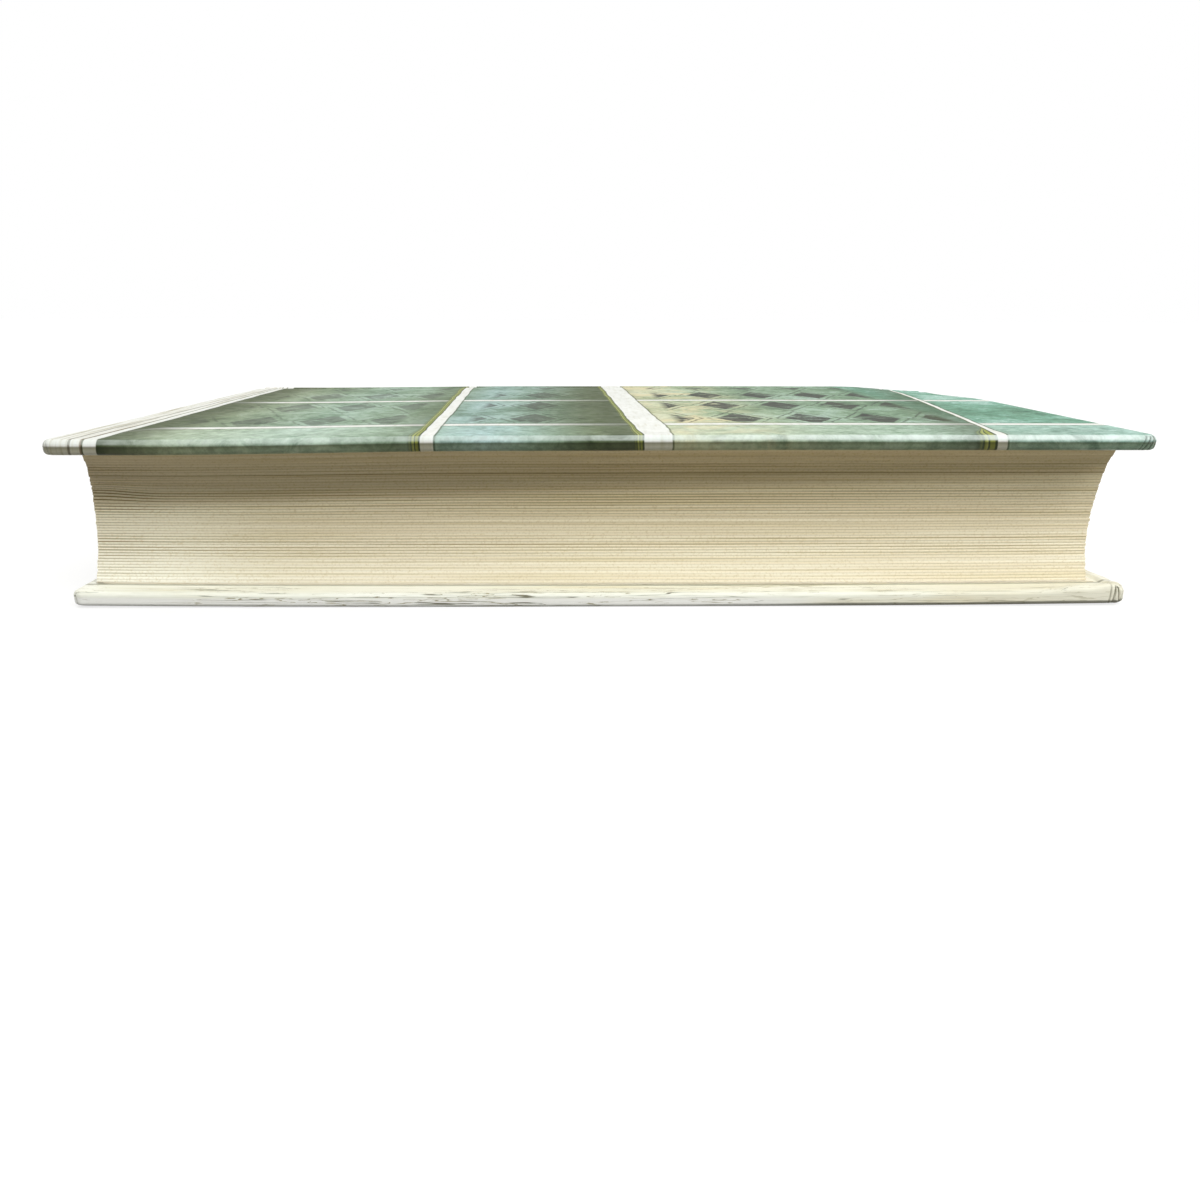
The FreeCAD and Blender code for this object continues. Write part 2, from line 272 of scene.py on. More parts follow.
def merged_node(node_name):
    """A bmesh of a node's shape, with its points merged."""
    mesh = bmesh.new()
    mesh.from_mesh(frame["nodes"][node_name].data)
    bmesh.ops.remove_doubles(mesh, verts=mesh.verts, dist=0.002 * MM)
    return mesh


def outline(node_name):
    """The points (y, z) round a node's section in the middle of the book, in order."""
    mesh = merged_node(node_name)
    slice_mesh(mesh, 0, 0.0, clear_inner=True, clear_outer=True)
    bmesh.ops.remove_doubles(mesh, verts=mesh.verts, dist=0.002 * MM)
    first = here = mesh.verts[:][0]
    came_by, points = None, []
    while True:
        points.append((here.co.y, here.co.z))
        came_by = next(edge for edge in here.link_edges if edge is not came_by)
        here = came_by.other_vert(here)
        if here is first:
            break
    mesh.free()
    return points


def look_up(pairs, value):
    """Reads a list of sorted (place, height) pairs at a value, in straight lines between them."""
    if value <= pairs[0][0]:
        return pairs[0][1]
    for (place, height), (next_place, next_height) in zip(pairs, pairs[1:]):
        if value <= next_place:
            share = (value - place) / max(next_place - place, 1e-9)
            return height + share * (next_height - height)
    return pairs[-1][1]


def new_piece(name, mesh, material, sharp_angle=35):
    """Makes an object of a bmesh, at the origin, smooth apart from edges sharper than the angle."""
    data = bpy.data.meshes.new(name)
    mesh.to_mesh(data)
    mesh.free()
    data.shade_smooth()
    data.set_sharp_from_angle(angle=math.radians(sharp_angle))
    data.materials.append(material)
    piece = bpy.data.objects.new(name, data)
    bpy.context.scene.collection.objects.link(piece)
    print(name, len(data.vertices), "points,", len(data.polygons), "faces")
    return piece


def cut_grid(mesh, axis, places):
    """Cuts the whole mesh by planes across one axis."""
    for place in places:
        slice_mesh(mesh, axis, place, dist=1e-7)


leaf_outline = outline("text_block")
print("the leaves' outline has", len(leaf_outline), "points")

# %% [markdown]
# ## Cut paper edges
# The trimmed edge of a book is hundreds of thin cream sheets. The eye sees them as bundles, with a
# fine line about every 0.7 mm along the whole length, strong in some zones of the block and faint in
# others. The dark of each line is painted shade in the groove between two bundles. The mesh carries
# the height inside the block as the attribute "leaf", so that the lines follow the leaves where they
# bend. The upper leaves are painted darker, as the shade under the front board's overhang.

# %% Material: uncoated book paper, guillotined edge
LINES = 48                                             # bundles between the two covers
LEAF_PITCH = (LEAF_HIGH.z - LEAF_LOW.z) / MM / LINES
# how strong the lines are at each share of the block's height
ZONES = ((0.0, 0.45), (0.17, 0.5), (0.20, 0.95), (0.31, 0.9), (0.35, 0.45), (0.46, 0.4), (0.50, 0.78),
         (0.66, 0.9), (0.72, 0.5), (0.80, 0.35), (0.83, 0.6), (0.88, 0.5), (0.92, 0.12), (1.0, 0.1))
GAP_AT = 26.7                                          # mm up: the one gap that is wide open
# the slant of the edge of the painted shade on the leaves
SHADE_EDGE_SLOPE = -0.0011                                   # of the block's height, for each mm of x


def cut_paper():
    """Book paper cut by a guillotine: matt cream, with fine darker lines along the leaves."""
    material, add, shader = new_finish(
        "cut_book_paper", 0.85, {"IOR": 1.45, "Specular IOR Level": 0.2})
    place, x, y = rest_place(add)[:3]
    leaf = add("Attribute", attribute_name="leaf", out="Fac")
    level = add("Math DIVIDE", (leaf, LINES * LEAF_PITCH))
    # the noise is long in x and y and one pitch high
    line_place = add("CombineXYZ", (add("Math DIVIDE", (add("Math ADD", (x, y)), 90)),
                                    add("Math DIVIDE", (leaf, LEAF_PITCH))))
    bundles = add("TexNoise", (line_place, 0.9, 3, 0.55), noise_dimensions="2D")
    zones = add("ValToRGB", (level,), [(share, (strength,) * 3 + (1,)) for share, strength in ZONES])
    # painted shade: the grooves between the bundles are darkened, by zone and unevenly
    from_groove = add("Math PINGPONG", (leaf, LEAF_PITCH / 2))
    groove = add(SMOOTH, (from_groove, 0.02, 0.18, 1.0, 0.0))
    uneven = add("MapRange", (bundles, 0.36, 0.62, 1.0, 0.45))
    groove = add("Math MULTIPLY", (groove, add("Math MULTIPLY", (uneven, zones))))
    # the painted shade of the lines is stronger where damp has parted the leaves at the tail
    damp = add(SMOOTH, (x, -88, -105, 1.0, 1.7))
    groove = add("Math MULTIPLY", (groove, damp), use_clamp=True)
    # painted shade in the one gap that is wide open
    wide_gap = add("MapRange", (away_from(add, leaf, GAP_AT), 0.05, 0.17, 0.75, 0.0))
    groove = add("Math MAXIMUM", (groove, wide_gap))
    fibre = add("TexNoise", (place, 1 / 0.5, 3, 0.6))
    colour = add("ValToRGB", (bundles,), [
        (0.32, "#efe8d2"), (0.44, "#f5eedc"), (0.56, "#f9f4e5"), (0.70, "#fdfaee")])
    # painted light: the leaves at the tail, below the middle, are painted paler and cooler, where light
    # reaches them from the tail's side
    pale = fade(add, add(SMOOTH, (x, -62, -98, 0.0, 0.9)), level, 0.85, 0.5)
    speckles = add("MapRange", (fibre, 0.5, 0.75, 0.0, 0.6))
    colour = coated(add, colour, (pale, "#fdfdf2"), (speckles, "#d8cba8"), (groove, "#94865f"))
    # painted shade: the upper leaves are darkened as the shade under the front board's overhang, and
    # the shaded zone starts higher at the head. Painted light: between the tail and the middle the
    # leaves are a little greyer.
    height = add("Math MULTIPLY_ADD", (x, SHADE_EDGE_SLOPE, level))
    share_along = add("MapRange", (x, -110, 110))
    for place_in_ramp, tones in (
            (height, ((0.0, "#f8f6f1"), (0.14, "#fefcf6"), (0.46, "#fbf5e7"), (0.64, "#fef7e5"),
                      (0.70, "#e0d5be"), (0.76, "#d4cab4"), (0.85, "#ddd1ba"), (1.0, "#ded2bb"))),
            (share_along, ((0.05, "#ffffff"), (0.18, "#f6f6f3"), (0.32, "#f8f7f3"),
                           (0.50, "#fdfbf3"), (0.77, "#fffdf6")))):
        painted_light_tone = add("ValToRGB", (place_in_ramp,), tones)
        colour = add("Mix RGBA", (1.0, colour, painted_light_tone), blend_type="MULTIPLY")
    relief = add("Math MULTIPLY_ADD", (fibre, 0.6, bundles))
    dress(add, shader, colour, relief, 0.3, 0.06)
    return material


CUT_PAPER = cut_paper()
print("finish", CUT_PAPER.name, "with a line each", round(LEAF_PITCH, 3), "mm")

# %% [markdown]
# ## The block of leaves
# The block is one box, cut into a grid, and then each point is moved to its place: its height picks
# the leaf, which runs from the hollow fore-edge to the rounded back and bends out over the shoulder.
# Each bundle's edge is a small ridge between two grooves, and the bundles stand a few hundredths of a
# millimetre in or out. At the tail a few leaves wave, where damp once reached them.

# %% The leaves
ROWS, COLUMNS, DEPTHS = 4 * LINES, 84, 30
RIDGE = 0.11                                           # mm from a groove to a ridge
WAVE, WAVE_AT = 0.75, 0.66                             # mm, and the share of the height


def grid_box(columns, depths, rows):
    """A cube of size 1 whose faces are cut into a grid along x, y and z."""
    mesh = bmesh.new()
    bmesh.ops.create_cube(mesh, size=1.0)
    for axis, count in enumerate((columns, depths, rows)):
        along = [edge for edge in mesh.edges
                 if abs((edge.verts[0].co - edge.verts[1].co)[axis]) > 1e-6]
        bmesh.ops.subdivide_edges(mesh, edges=along, cuts=count - 1, use_grid_fill=True)
    return mesh


CLOSE = 0.01 * MM
tip_high = max(leaf_outline, key=lambda point: point[1])
tip_low = min(leaf_outline, key=lambda point: point[1])
fore_curve = sorted((z, y) for y, z in leaf_outline if y < 0)
FLAT_LOW, FLAT_HIGH = fore_curve[0][0], fore_curve[-1][0]
FLAT_MIDDLE = (FLAT_LOW + FLAT_HIGH) / 2
top_curve = sorted((y, z) for y, z in leaf_outline
                   if z > FLAT_HIGH - CLOSE and y < tip_high[0] + CLOSE)
low_curve = sorted((y, z) for y, z in leaf_outline
                   if z < FLAT_LOW + CLOSE and y < tip_low[0] + CLOSE)
back_curve = sorted((z, y) for y, z in leaf_outline if y >= tip_high[0] - CLOSE
                    and (y >= tip_low[0] or z > tip_high[1] - 4 * MM))
# how far a leaf is bent out, by its distance from its own end at the back
shoulder = sorted((tip_high[0] - y, (z - FLAT_HIGH) / (FLAT_HIGH - FLAT_MIDDLE))
                  for y, z in top_curve)
print("leaves", round((FLAT_HIGH - FLAT_LOW) / MM, 2), "mm thick, bent out by",
      round(shoulder[0][1] * (FLAT_HIGH - FLAT_MIDDLE) / MM, 2), "mm at the shoulders")


def leaf_point(x, share, level):
    """A point of the block: share runs 0 to 1 from fore-edge to back, level 0 to 1 from the bottom."""
    flat = FLAT_LOW + level * (FLAT_HIGH - FLAT_LOW)
    fore = look_up(fore_curve, flat)
    back = look_up(back_curve, tip_low[1] + level * (tip_high[1] - tip_low[1]))
    from_back = (1 - share) ** 2.2                      # finer steps near the shoulder
    y = back + (fore - back) * from_back
    z = FLAT_MIDDLE + (flat - FLAT_MIDDLE) * (1 + look_up(shoulder, back - y))
    return Vector((x, y, z))


def build_leaves():
    random.seed(7)
    mesh = grid_box(COLUMNS, DEPTHS, ROWS)
    fore_step = [random.uniform(-1, 1) for _ in range(LINES + 1)]
    end_step = [random.uniform(-1, 1) for _ in range(LINES + 1)]
    height_of = mesh.verts.layers.float.new("leaf")
    for vert in mesh.verts:
        level, share = vert.co.z + 0.5, vert.co.y + 0.5
        bundle = min(LINES, int(level * LINES + 0.5))
        ridge = 0.5 - 0.5 * math.cos(2 * math.pi * level * LINES)   # 0 in a groove, 1 on a ridge
        cut_in = RIDGE * (1 - ridge) * look_up(ZONES, level)
        x = vert.co.x * 2 * LEAF_HIGH.x
        point = leaf_point(x, share, level)
        wander = noise.noise(Vector((x / (30 * MM), point.y / (30 * MM), bundle * 0.9)))
        if share < 0.001:
            point.y += max(0.0, 0.08 + cut_in + 0.05 * fore_step[bundle] + 0.05 * wander) * MM
        if abs(vert.co.x) > 0.499:
            step = 0.12 + cut_in + 0.10 * end_step[bundle] + 0.05 * wander
            point.x -= math.copysign(max(0.0, step) * MM, x)
        wave = ease(x, -84 * MM, -107 * MM) * math.exp(-((level - WAVE_AT) / 0.07) ** 2)
        point.z += WAVE * MM * wave * (0.5 + 0.5 * math.cos((x / MM + 107) / 5))
        vert[height_of] = level * LINES * LEAF_PITCH
        vert.co = point
    settle(mesh, of_block=1.0)
    bmesh.ops.recalc_face_normals(mesh, faces=mesh.faces)
    return new_piece("leaves", mesh, CUT_PAPER, sharp_angle=60)


leaves = build_leaves()
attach(leaves, "block")
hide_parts("text_block")

# %% [markdown]
# ## Endpaper
# The endpapers are plain cream uncoated sheets. One half lies loose on the leaves, and the other is
# pasted inside the board, where the edge of the turn-ins shows through it as a step.

# %% Material: uncoated endpaper
def endpaper():
    """Uncoated paper: matt and warm, a little cloudy, with faint fibres."""
    material, add, shader = new_finish(
        "uncoated_endpaper", 0.8, {"IOR": 1.45, "Specular IOR Level": 0.3})
    place = rest_place(add)[0]
    cloudy = add("TexNoise", (place, 1 / 9, 5, 0.65))
    fibre = add("TexNoise", (place, 1 / 0.4, 3))
    tint = add("ValToRGB", (cloudy,), [(0.3, "#ece3cb"), (0.5, "#f2ead6"), (0.72, "#f6f0df")])
    # foxing: a few small brown spots, as old uncoated paper gets
    spots = add("TexVoronoi", (place, 1 / 17))
    foxing = add(SMOOTH, (spots, 0.02, 0.07, 0.28, 0.0))
    dress(add, shader, add("Mix RGBA", (foxing, tint, "#b08a55")), fibre, 0.25, 0.04)
    return material


ENDPAPER = endpaper()
print("finish", ENDPAPER.name)

# %% [markdown]
# ## Sheets bent over the joint
# When a cover opens, its pastedown, the cloth under it and the cover sheet all bend in the groove
# beside the spine. So they are ribbons: a path across the joint, drawn out along the book.

# %% Ribbons and the bend
GROOVE_ROOT = {"front_cover": 66.2 * MM, "back_cover": 69.2 * MM}
BOARD_EDGE = {"front_cover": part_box("front_board")[1].y, "back_cover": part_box("back_board")[1].y}


def bend(piece, cover):
    """Bakes the piece's place into its mesh, the same for either cover.
    """
    if cover == "front_cover":
        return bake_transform(piece)
    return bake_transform(piece)


def resampled(path, step):
    """The same path with no run longer than step."""
    points = [path[0]]
    for (y, z), (next_y, next_z) in zip(path, path[1:]):
        count = max(1, math.ceil(math.hypot(next_y - y, next_z - z) / step))
        points += [(y + (next_y - y) * part / count, z + (next_z - z) * part / count)
                   for part in range(1, count + 1)]
    return points


def grow(mesh, edges):
    """Extrudes a row of edges. Returns the new points and the new row."""
    grown = bmesh.ops.extrude_edge_only(mesh, edges=edges)["geom"]
    points = [item for item in grown if isinstance(item, bmesh.types.BMVert)]
    return points, [item for item in grown if isinstance(item, bmesh.types.BMEdge)
                    and all(vert in points for vert in item.verts)]


def thicken(piece, name, thickness, offset):
    """Gives a sheet its thickness, half on each side at offset 0 and all inside at -1."""
    walls = piece.modifiers.new(name, "SOLIDIFY")
    walls.thickness, walls.offset = thickness, offset
    return piece


def ribbon(name, path, reach, material, thickness, columns=56, of_block=0.0):
    """A thin sheet: a chain of points along the path (y, z), drawn out from -reach to reach."""
    mesh = bmesh.new()
    chain = [mesh.verts.new((-reach, y, z)) for y, z in path]
    edges = [mesh.edges.new(pair) for pair in zip(chain, chain[1:])]
    for _ in range(columns):
        points, edges = grow(mesh, edges)
        bmesh.ops.translate(mesh, verts=points, vec=(2 * reach / columns, 0, 0))
    settle(mesh, of_block)
    bmesh.ops.recalc_face_normals(mesh, faces=mesh.faces)
    return thicken(new_piece(name, mesh, material), "thickness", thickness, 0.0)


PAPER, CLOTH, SHEET = 0.15 * MM, 0.20 * MM, 0.20 * MM   # how thick each is
SHOWN = 0.9                                            # of its thickness, so that layers stay apart
print("grooves begin at", [round(place / MM, 1) for place in GROOVE_ROOT.values()], "mm")

# %% The flyleaves and the pastedowns
TURN_IN = 15 * MM


def shoulder_line(cover, rise):
    """The path over one shoulder, this far out of the leaves, from the groove to the shoulder's tip."""
    curve, side = (top_curve, 1) if cover == "front_cover" else (low_curve, -1)
    return [(y, z + side * rise) for y, z in curve if y > GROOVE_ROOT[cover]]


def build_flyleaf(cover, side):
    """The loose half of an endpaper, lying on the leaves and bent up the shoulder."""
    flat = (FLAT_HIGH if side > 0 else FLAT_LOW) + side * PAPER / 2
    fore = look_up(fore_curve, FLAT_HIGH if side > 0 else FLAT_LOW)
    path = [(fore, flat), (GROOVE_ROOT[cover], flat)] + shoulder_line(cover, PAPER / 2)[:-2]
    piece = ribbon(cover.replace("cover", "endpaper_flyleaf"), resampled(path, 9 * MM),
                   LEAF_HIGH.x - 0.05 * MM, ENDPAPER, PAPER * SHOWN, of_block=1.0)
    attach(piece, "block")
    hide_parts(cover.replace("cover", "flyleaf"))
    return piece


def build_pastedown(cover, side):
    """The pasted half, and its strip over the joint. It steps out to the board inside the turn-ins."""
    plane = BLOCK_HIGH if side > 0 else BLOCK_LOW
    low, high = plane + side * (0.05 * MM + PAPER / 2), plane + side * (0.25 * MM + PAPER / 2)
    fore = look_up(fore_curve, FLAT_HIGH if side > 0 else FLAT_LOW)
    inner = (SHEET_LOW.y if side > 0 else BACK_LOW.y) + TURN_IN
    edge = BOARD_EDGE[cover]
    path = resampled([(fore, low), (inner, low)], 7 * MM)
    path += resampled([(inner + 0.6 * MM, low), (edge - 1 * MM, low)], 8 * MM)
    path += resampled([(edge, low), (GROOVE_ROOT[cover], low)], 0.5 * MM)
    path += shoulder_line(cover, PAPER * 1.5 + 0.05 * MM)[:-2]
    piece = ribbon(cover.replace("cover", "endpaper_pastedown"), path, LEAF_HIGH.x - 0.05 * MM,
                   ENDPAPER, PAPER * SHOWN)
    for vert in piece.data.vertices:                   # the step at the turn-ins' edges
        inside = ease(vert.co.y, inner, inner + 0.8 * MM)
        inside *= ease(abs(vert.co.x), SHEET_HIGH.x - TURN_IN, SHEET_HIGH.x - TURN_IN - 4 * MM)
        inside *= 1 - ease(vert.co.y, edge - 1.5 * MM, edge)
        vert.co.z += (high - low) * inside * 0.8
    bend(piece, cover)
    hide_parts(cover.replace("cover", "pastedown"))
    return piece


for cover, side in COVERS:
    build_flyleaf(cover, side)
    build_pastedown(cover, side)

# %% [markdown]
# ## Mull
# Mull is an open, stiffened cotton gauze, glued over the backs of the leaves. It runs out over both
# joints and under the pastedowns, and it is what really hangs the block in its case.

# %% Material: mull, and the cloth's three runs
def mull():
    """Woven cotton gauze stiffened with size: dull, with an open grid of threads."""
    material, add, shader = new_finish("mull_gauze", 0.9)
    # threads 0.8 mm apart both ways
    across, along = (add("Math PINGPONG", (axis, 0.4)) for axis in rest_place(add)[1:3])
    crossing = add("Math MINIMUM", (across, along))
    tint = add("ValToRGB", (add("Math DIVIDE", (crossing, 0.4)),), [
        (0.1, "#e6dfcc"), (0.4, "#d3cab2"), (0.7, "#b3a88c")])
    dress(add, shader, tint, crossing, 0.6, 0.5)
    return material


MULL = mull()
CLOTH_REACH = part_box("spine_cloth")[1].x
for cover, side in COVERS:
    box_low, box_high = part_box(cover.replace("cover", "cloth_flange"))
    middle = (box_low.z + box_high.z) / 2
    path = resampled([(box_low.y, middle), (BOARD_EDGE[cover], middle)], 8 * MM)
    path += resampled([(BOARD_EDGE[cover], middle), (GROOVE_ROOT[cover], middle)], 0.5 * MM)[1:]
    flange = ribbon(cover.replace("cover", "mull_flange"), path, CLOTH_REACH, MULL, CLOTH * 0.8)
    bend(flange, cover)
    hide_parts(cover.replace("cover", "cloth_flange"))


def settled_copy(node_name, cut_grooves=False):
    """A merged copy of a node in the settled shape, if asked without the strips in the two grooves."""
    mesh = merged_node(node_name)
    for cover, side in COVERS if cut_grooves else ():
        middle = (BLOCK_LOW + BLOCK_HIGH) / 2
        half = [face for face in mesh.faces if (face.calc_center_median().z - middle) * side > 8 * MM]
        geometry = half + list({edge for face in half for edge in face.edges}
                               | {vert for face in half for vert in face.verts})
        slice_mesh(mesh, 1, GROOVE_ROOT[cover], geometry, clear_inner=True)
    bmesh.ops.holes_fill(mesh, edges=[edge for edge in mesh.edges if edge.is_boundary])
    low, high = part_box(node_name)
    cut_grid(mesh, 0, [place * MM for place in range(-110, 111, 5)
                       if low.x < (place - 0.5) * MM and (place + 0.5) * MM < high.x])
    settle(mesh)
    return mesh


spine_mull = new_piece("mull_spine", settled_copy("spine_cloth", cut_grooves=True), MULL)
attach(spine_mull, "block")
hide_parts("spine_cloth")

# %% [markdown]
# ## The printed sheet of the front and the spine
# The case is covered in one sheet of coated paper, printed and then laminated with a thin satin
# film. The print is a mottled verdigris ground, parted by bands that look like white paint with thin
# olive lines beside them, which run on over the spine. The panels between them carry rows of worn
# lozenges. All of it is drawn from the square place in millimetres and from noise of the size of the
# real blotches, so it goes over the rounded edges without a seam.

# %% Colours and places of the print
WHITE_PAINT = "#e9eae5"
OLIVE, PALE_OLIVE, DARK_OLIVE = "#8b9242", "#b0b56a", "#2b3913"
INK = "#17191a"

# the ground's tint along the book, from the tail to the head: (place in mm, colour)
GROUND = ((-102, "#6f7355"), (-90, "#93a085"), (-66, "#a3bbab"), (-42, "#80957b"), (-32, "#a3bebd"),
          (-14, "#8fa898"), (-2, "#64744f"), (4, "#4d5836"), (13, "#d5d4b4"), (27, "#bccaae"),
          (48, "#9cb39e"), (78, "#8aa58f"), (84, "#7cab9a"), (112, "#8dbdae"))
# each white band: left and right edge in mm, how far it leans to the right over the width of the
# board, how far it spreads at the fore-edge, how wide the olive lines beside it are on the face and
# at the fore-edge, and how wide and strong the dark glaze beyond them is. A glaze of negative width
# lies on the band's right.
BANDS = ((-103.0, -101.0, -1.5, 0.6, 0.2, 0.2, -16, 0.9),
         (-36.8, -34.3, -6.0, 0.0, 1.9, 2.6, 12, 0.45),
         (7.2, 13.8, -5.0, -1.0, 1.6, 2.2, 30, 0.85),
         (79.3, 80.4, 19.0, 0.9, 0.4, 4.4, 16, 0.6))
# the olive lines beside a band, over their whole width: (place, tint, how much it covers)
OLIVE_LINES = (
    (0.0, DARK_OLIVE, 0.0), (0.01, DARK_OLIVE, 0.95), (0.10, DARK_OLIVE, 0.9), (0.14, OLIVE, 1.0),
    (0.34, OLIVE, 1.0), (0.38, DARK_OLIVE, 0.9), (0.43, DARK_OLIVE, 0.8), (0.47, PALE_OLIVE, 0.9),
    (0.60, OLIVE, 0.8), (0.64, DARK_OLIVE, 0.8), (0.70, DARK_OLIVE, 0.5), (0.74, OLIVE, 0.45),
    (0.88, DARK_OLIVE, 0.4), (1.0, DARK_OLIVE, 0.0))
# the brown hairlines across the tail: place and width in mm, and tint
HAIRLINES = ((-106.2, 0.35, "#6b6351"), (-103.7, 0.35, "#7d6044"), (-103.2, 0.3, "#5c5237"))
LINES_AT = (-56.5, 6.0)                                # thin white lines along the book
# the tint of the strip along the fore-edge: (place in mm, colour)
STRIP = ((-102, "#b4c3a2"), (-62, "#c6d9ca"), (-40, "#a3bda4"), (-24, "#b4d4d6"), (-2, "#9fb78e"),
         (18, "#cdd7c0"), (60, "#b6ccba"), (112, "#c6e0db"))
# where rows of lozenges are printed: from, to, and how strongly
LOZENGE_ROWS = ((-94, -46, 0.6), (-30, -4, 0.75), (17, 80, 0.95))
# painted shade on the side of the front board: (height in mm, what it leaves of the colour)
SHEET_TOP = SHEET_HIGH.z / MM
SIDE_SHADE_FROM = 33.6                                      # mm up, where the board's side begins
SIDE_SHADE = ((SIDE_SHADE_FROM, "#d8d4c4"), (34.2, "#c2beae"), (34.8, "#a5a291"), (35.25, "#8f8c7a"),
         (35.6, "#ffffff"))
RAMP_END = 112                                         # mm from the middle to an end of a ramp


def along_book(add, x, tints):
    """A ramp of tints that runs from one end of the book to the other."""
    stops = [((place + RAMP_END) / (2 * RAMP_END), tint) for place, tint in tints]
    return add("ValToRGB", (add("MapRange", (x, -RAMP_END, RAMP_END)),), stops)


# %% Layers of the print
def mottled_ground(add, place, x):
    """The verdigris ground: large pale and dark clouds, smaller blotches and fine specks."""
    tint = along_book(add, x, GROUND)
    clouds = add("TexNoise", (place, 1 / 30, 3, 0.55, 2.0, 0.4))
    blotches = add("TexNoise", (place, 1 / 5.5, 8, 0.72, 2.0, 0.9))
    specks = add("TexNoise", (place, 1 / 1.3, 4, 0.7))
    both = add("Mix", (0.55, clouds, blotches))
    shade = add("ValToRGB", (both,), [
        (0.34, "#7e8f80"), (0.43, "#b3c0b0"), (0.50, "#e0e6dc"), (0.57, "#ffffff")])
    colour = add("Mix RGBA", (1.0, tint, shade), blend_type="MULTIPLY")
    # the verdigris itself, strongest towards the head: pale scurf with dark pits in it
    scurf = add(SMOOTH, (both, 0.5, 0.64, 0.0, 0.75))
    scurf = fade(add, scurf, x, 20, 90, 0.25, 1.0, kind="MapRange")
    colour = add("Mix RGBA", (scurf, colour, "#c3ddd3"))
    grain = add("MapRange", (specks, 0.35, 0.65, 0.78, 1.12))
    colour = add("VectorMath SCALE", (colour, grain))
    pits = add("MapRange", (specks, 0.42, 0.30, 0.0, 0.6))
    pits = fade(add, pits, x, 10, 90, 0.4, 1.0, kind="MapRange")
    return add("Mix RGBA", (pits, colour, "#2f5446")), blotches


def draw_band(add, colour, x, y, white, left, right, lean, spread, reach, rim_reach, glaze_width,
              glaze_strength):
    """One white band, with olive lines on its left, a thin dark line on its right and its glaze."""
    x = add("Math SUBTRACT", (x, add("MapRange", (y, -76, 59, 0, lean))))
    flare = add(SMOOTH, (y, -64, -76, 0, spread))
    from_left, from_right = (
        add("Math MULTIPLY_ADD", (flare, -0.5, add("Math SUBTRACT", ends)))
        for ends in ((left, x), (x, right)))
    outside = add("Math MAXIMUM", (from_left, from_right))
    beyond = from_left if glaze_width > 0 else from_right
    glaze = add(SMOOTH, (beyond, 0, abs(glaze_width), glaze_strength, 0))
    glaze = add("Math MULTIPLY", (glaze, add("Math GREATER_THAN", (beyond, 0))))
    wide = add(SMOOTH, (y, -62, -75, reach, rim_reach))
    lines = add("ValToRGB", (add("Math DIVIDE", (from_left, wide)),), [
        (place, linear(tint, alpha)) for place, tint, alpha in OLIVE_LINES])
    edge = add("MapRange", (outside, 0.3, 0.5, 0.7, 0.0))
    fill = add("MapRange", (outside, -0.08, 0.08, 1.0, 0.0))
    return coated(add, colour, (glaze, DARK_OLIVE), (lines.node.outputs["Alpha"], lines),
                  (edge, DARK_OLIVE), (fill, white))


def draw_lozenges(add, colour, place, x, y):
    """Tall harlequin lozenges, each with a fine outline, worn away in places, on the face only."""
    across = add("Math DIVIDE", (add("Math PINGPONG", (x, 8)), 7.0))
    down = add("Math DIVIDE", (add("Math PINGPONG", (add("Math ADD", (y, 10)), 17)), 15))
    worn = add("TexNoise", (place, 1 / 6, 6, 0.7, 2.0, 0.6))
    shape = add("Math ADD", (add("Math ADD", (across, down)), -0.25))
    shape = add("Math MULTIPLY_ADD", (worn, 0.5, shape))
    body = add("MapRange", (shape, 0.76, 0.84, 1.0, 0.0))
    outline = add("MapRange", (away_from(add, shape, 1.08), 0.03, 0.07, 0.7, 0.0))
    inked = fade(add, add("Math MAXIMUM", (body, outline)), worn, 0.36, 0.5, 0.25, 1.0)
    strength = 0.0
    for start, end, most in LOZENGE_ROWS:
        rises = add("MapRange", (x, start - 1, start + 1, 0, most))
        falls = add("MapRange", (x, end + 1, end - 1, 0, 1))
        strength = add("Math MULTIPLY_ADD", (rises, falls, strength))
    inked = add("Math MULTIPLY", (inked, strength))
    for outer, inner in ((-54.5, -52), (56, 53)):
        inked = fade(add, inked, y, outer, inner, kind="MapRange")
    return add("Mix RGBA", (inked, colour, INK))


def draw_thin_line(add, colour, y, line, white):
    """One thin white line along the book, between two soft dark edges."""
    away = away_from(add, y, line)
    edge = add(SMOOTH, (away, 2.0, 3.2, 0.6, 0.0))
    fill = add(SMOOTH, (away, 1.5, 2.1, 1.0, 0.0))
    return coated(add, colour, (edge, DARK_OLIVE), (fill, white))


def painted_side_shade(add, colour, y, z):
    """Painted shade on the side of the front board, darkest just under the rounded rim, but none in the
    groove beside the spine.
    """
    kept = add("ValToRGB", (add("MapRange", (z, SIDE_SHADE_FROM, SHEET_TOP)),), [
        ((height - SIDE_SHADE_FROM) / (SHEET_TOP - SIDE_SHADE_FROM), tint) for height, tint in SIDE_SHADE])
    outside = add(SMOOTH, (y, 56, 50))
    return add("Mix RGBA", (outside, colour, kept), blend_type="MULTIPLY")


def laminate(add, shader, colour, place, worn_rim):
    """The satin film: slightly uneven, and polished by hands where worn_rim is 1."""
    uneven = add("TexNoise", (place, 1 / 2.2, 3))
    shader.inputs["Specular IOR Level"].default_value = 0.15
    satin = add("MapRange", (uneven, 0.3, 0.7, 0.6, 0.76))
    shader.id_data.links.new(add("Mix", (worn_rim, satin, 0.3)), shader.inputs["Roughness"])
    dress(add, shader, colour, uneven, 0.12, 0.05)


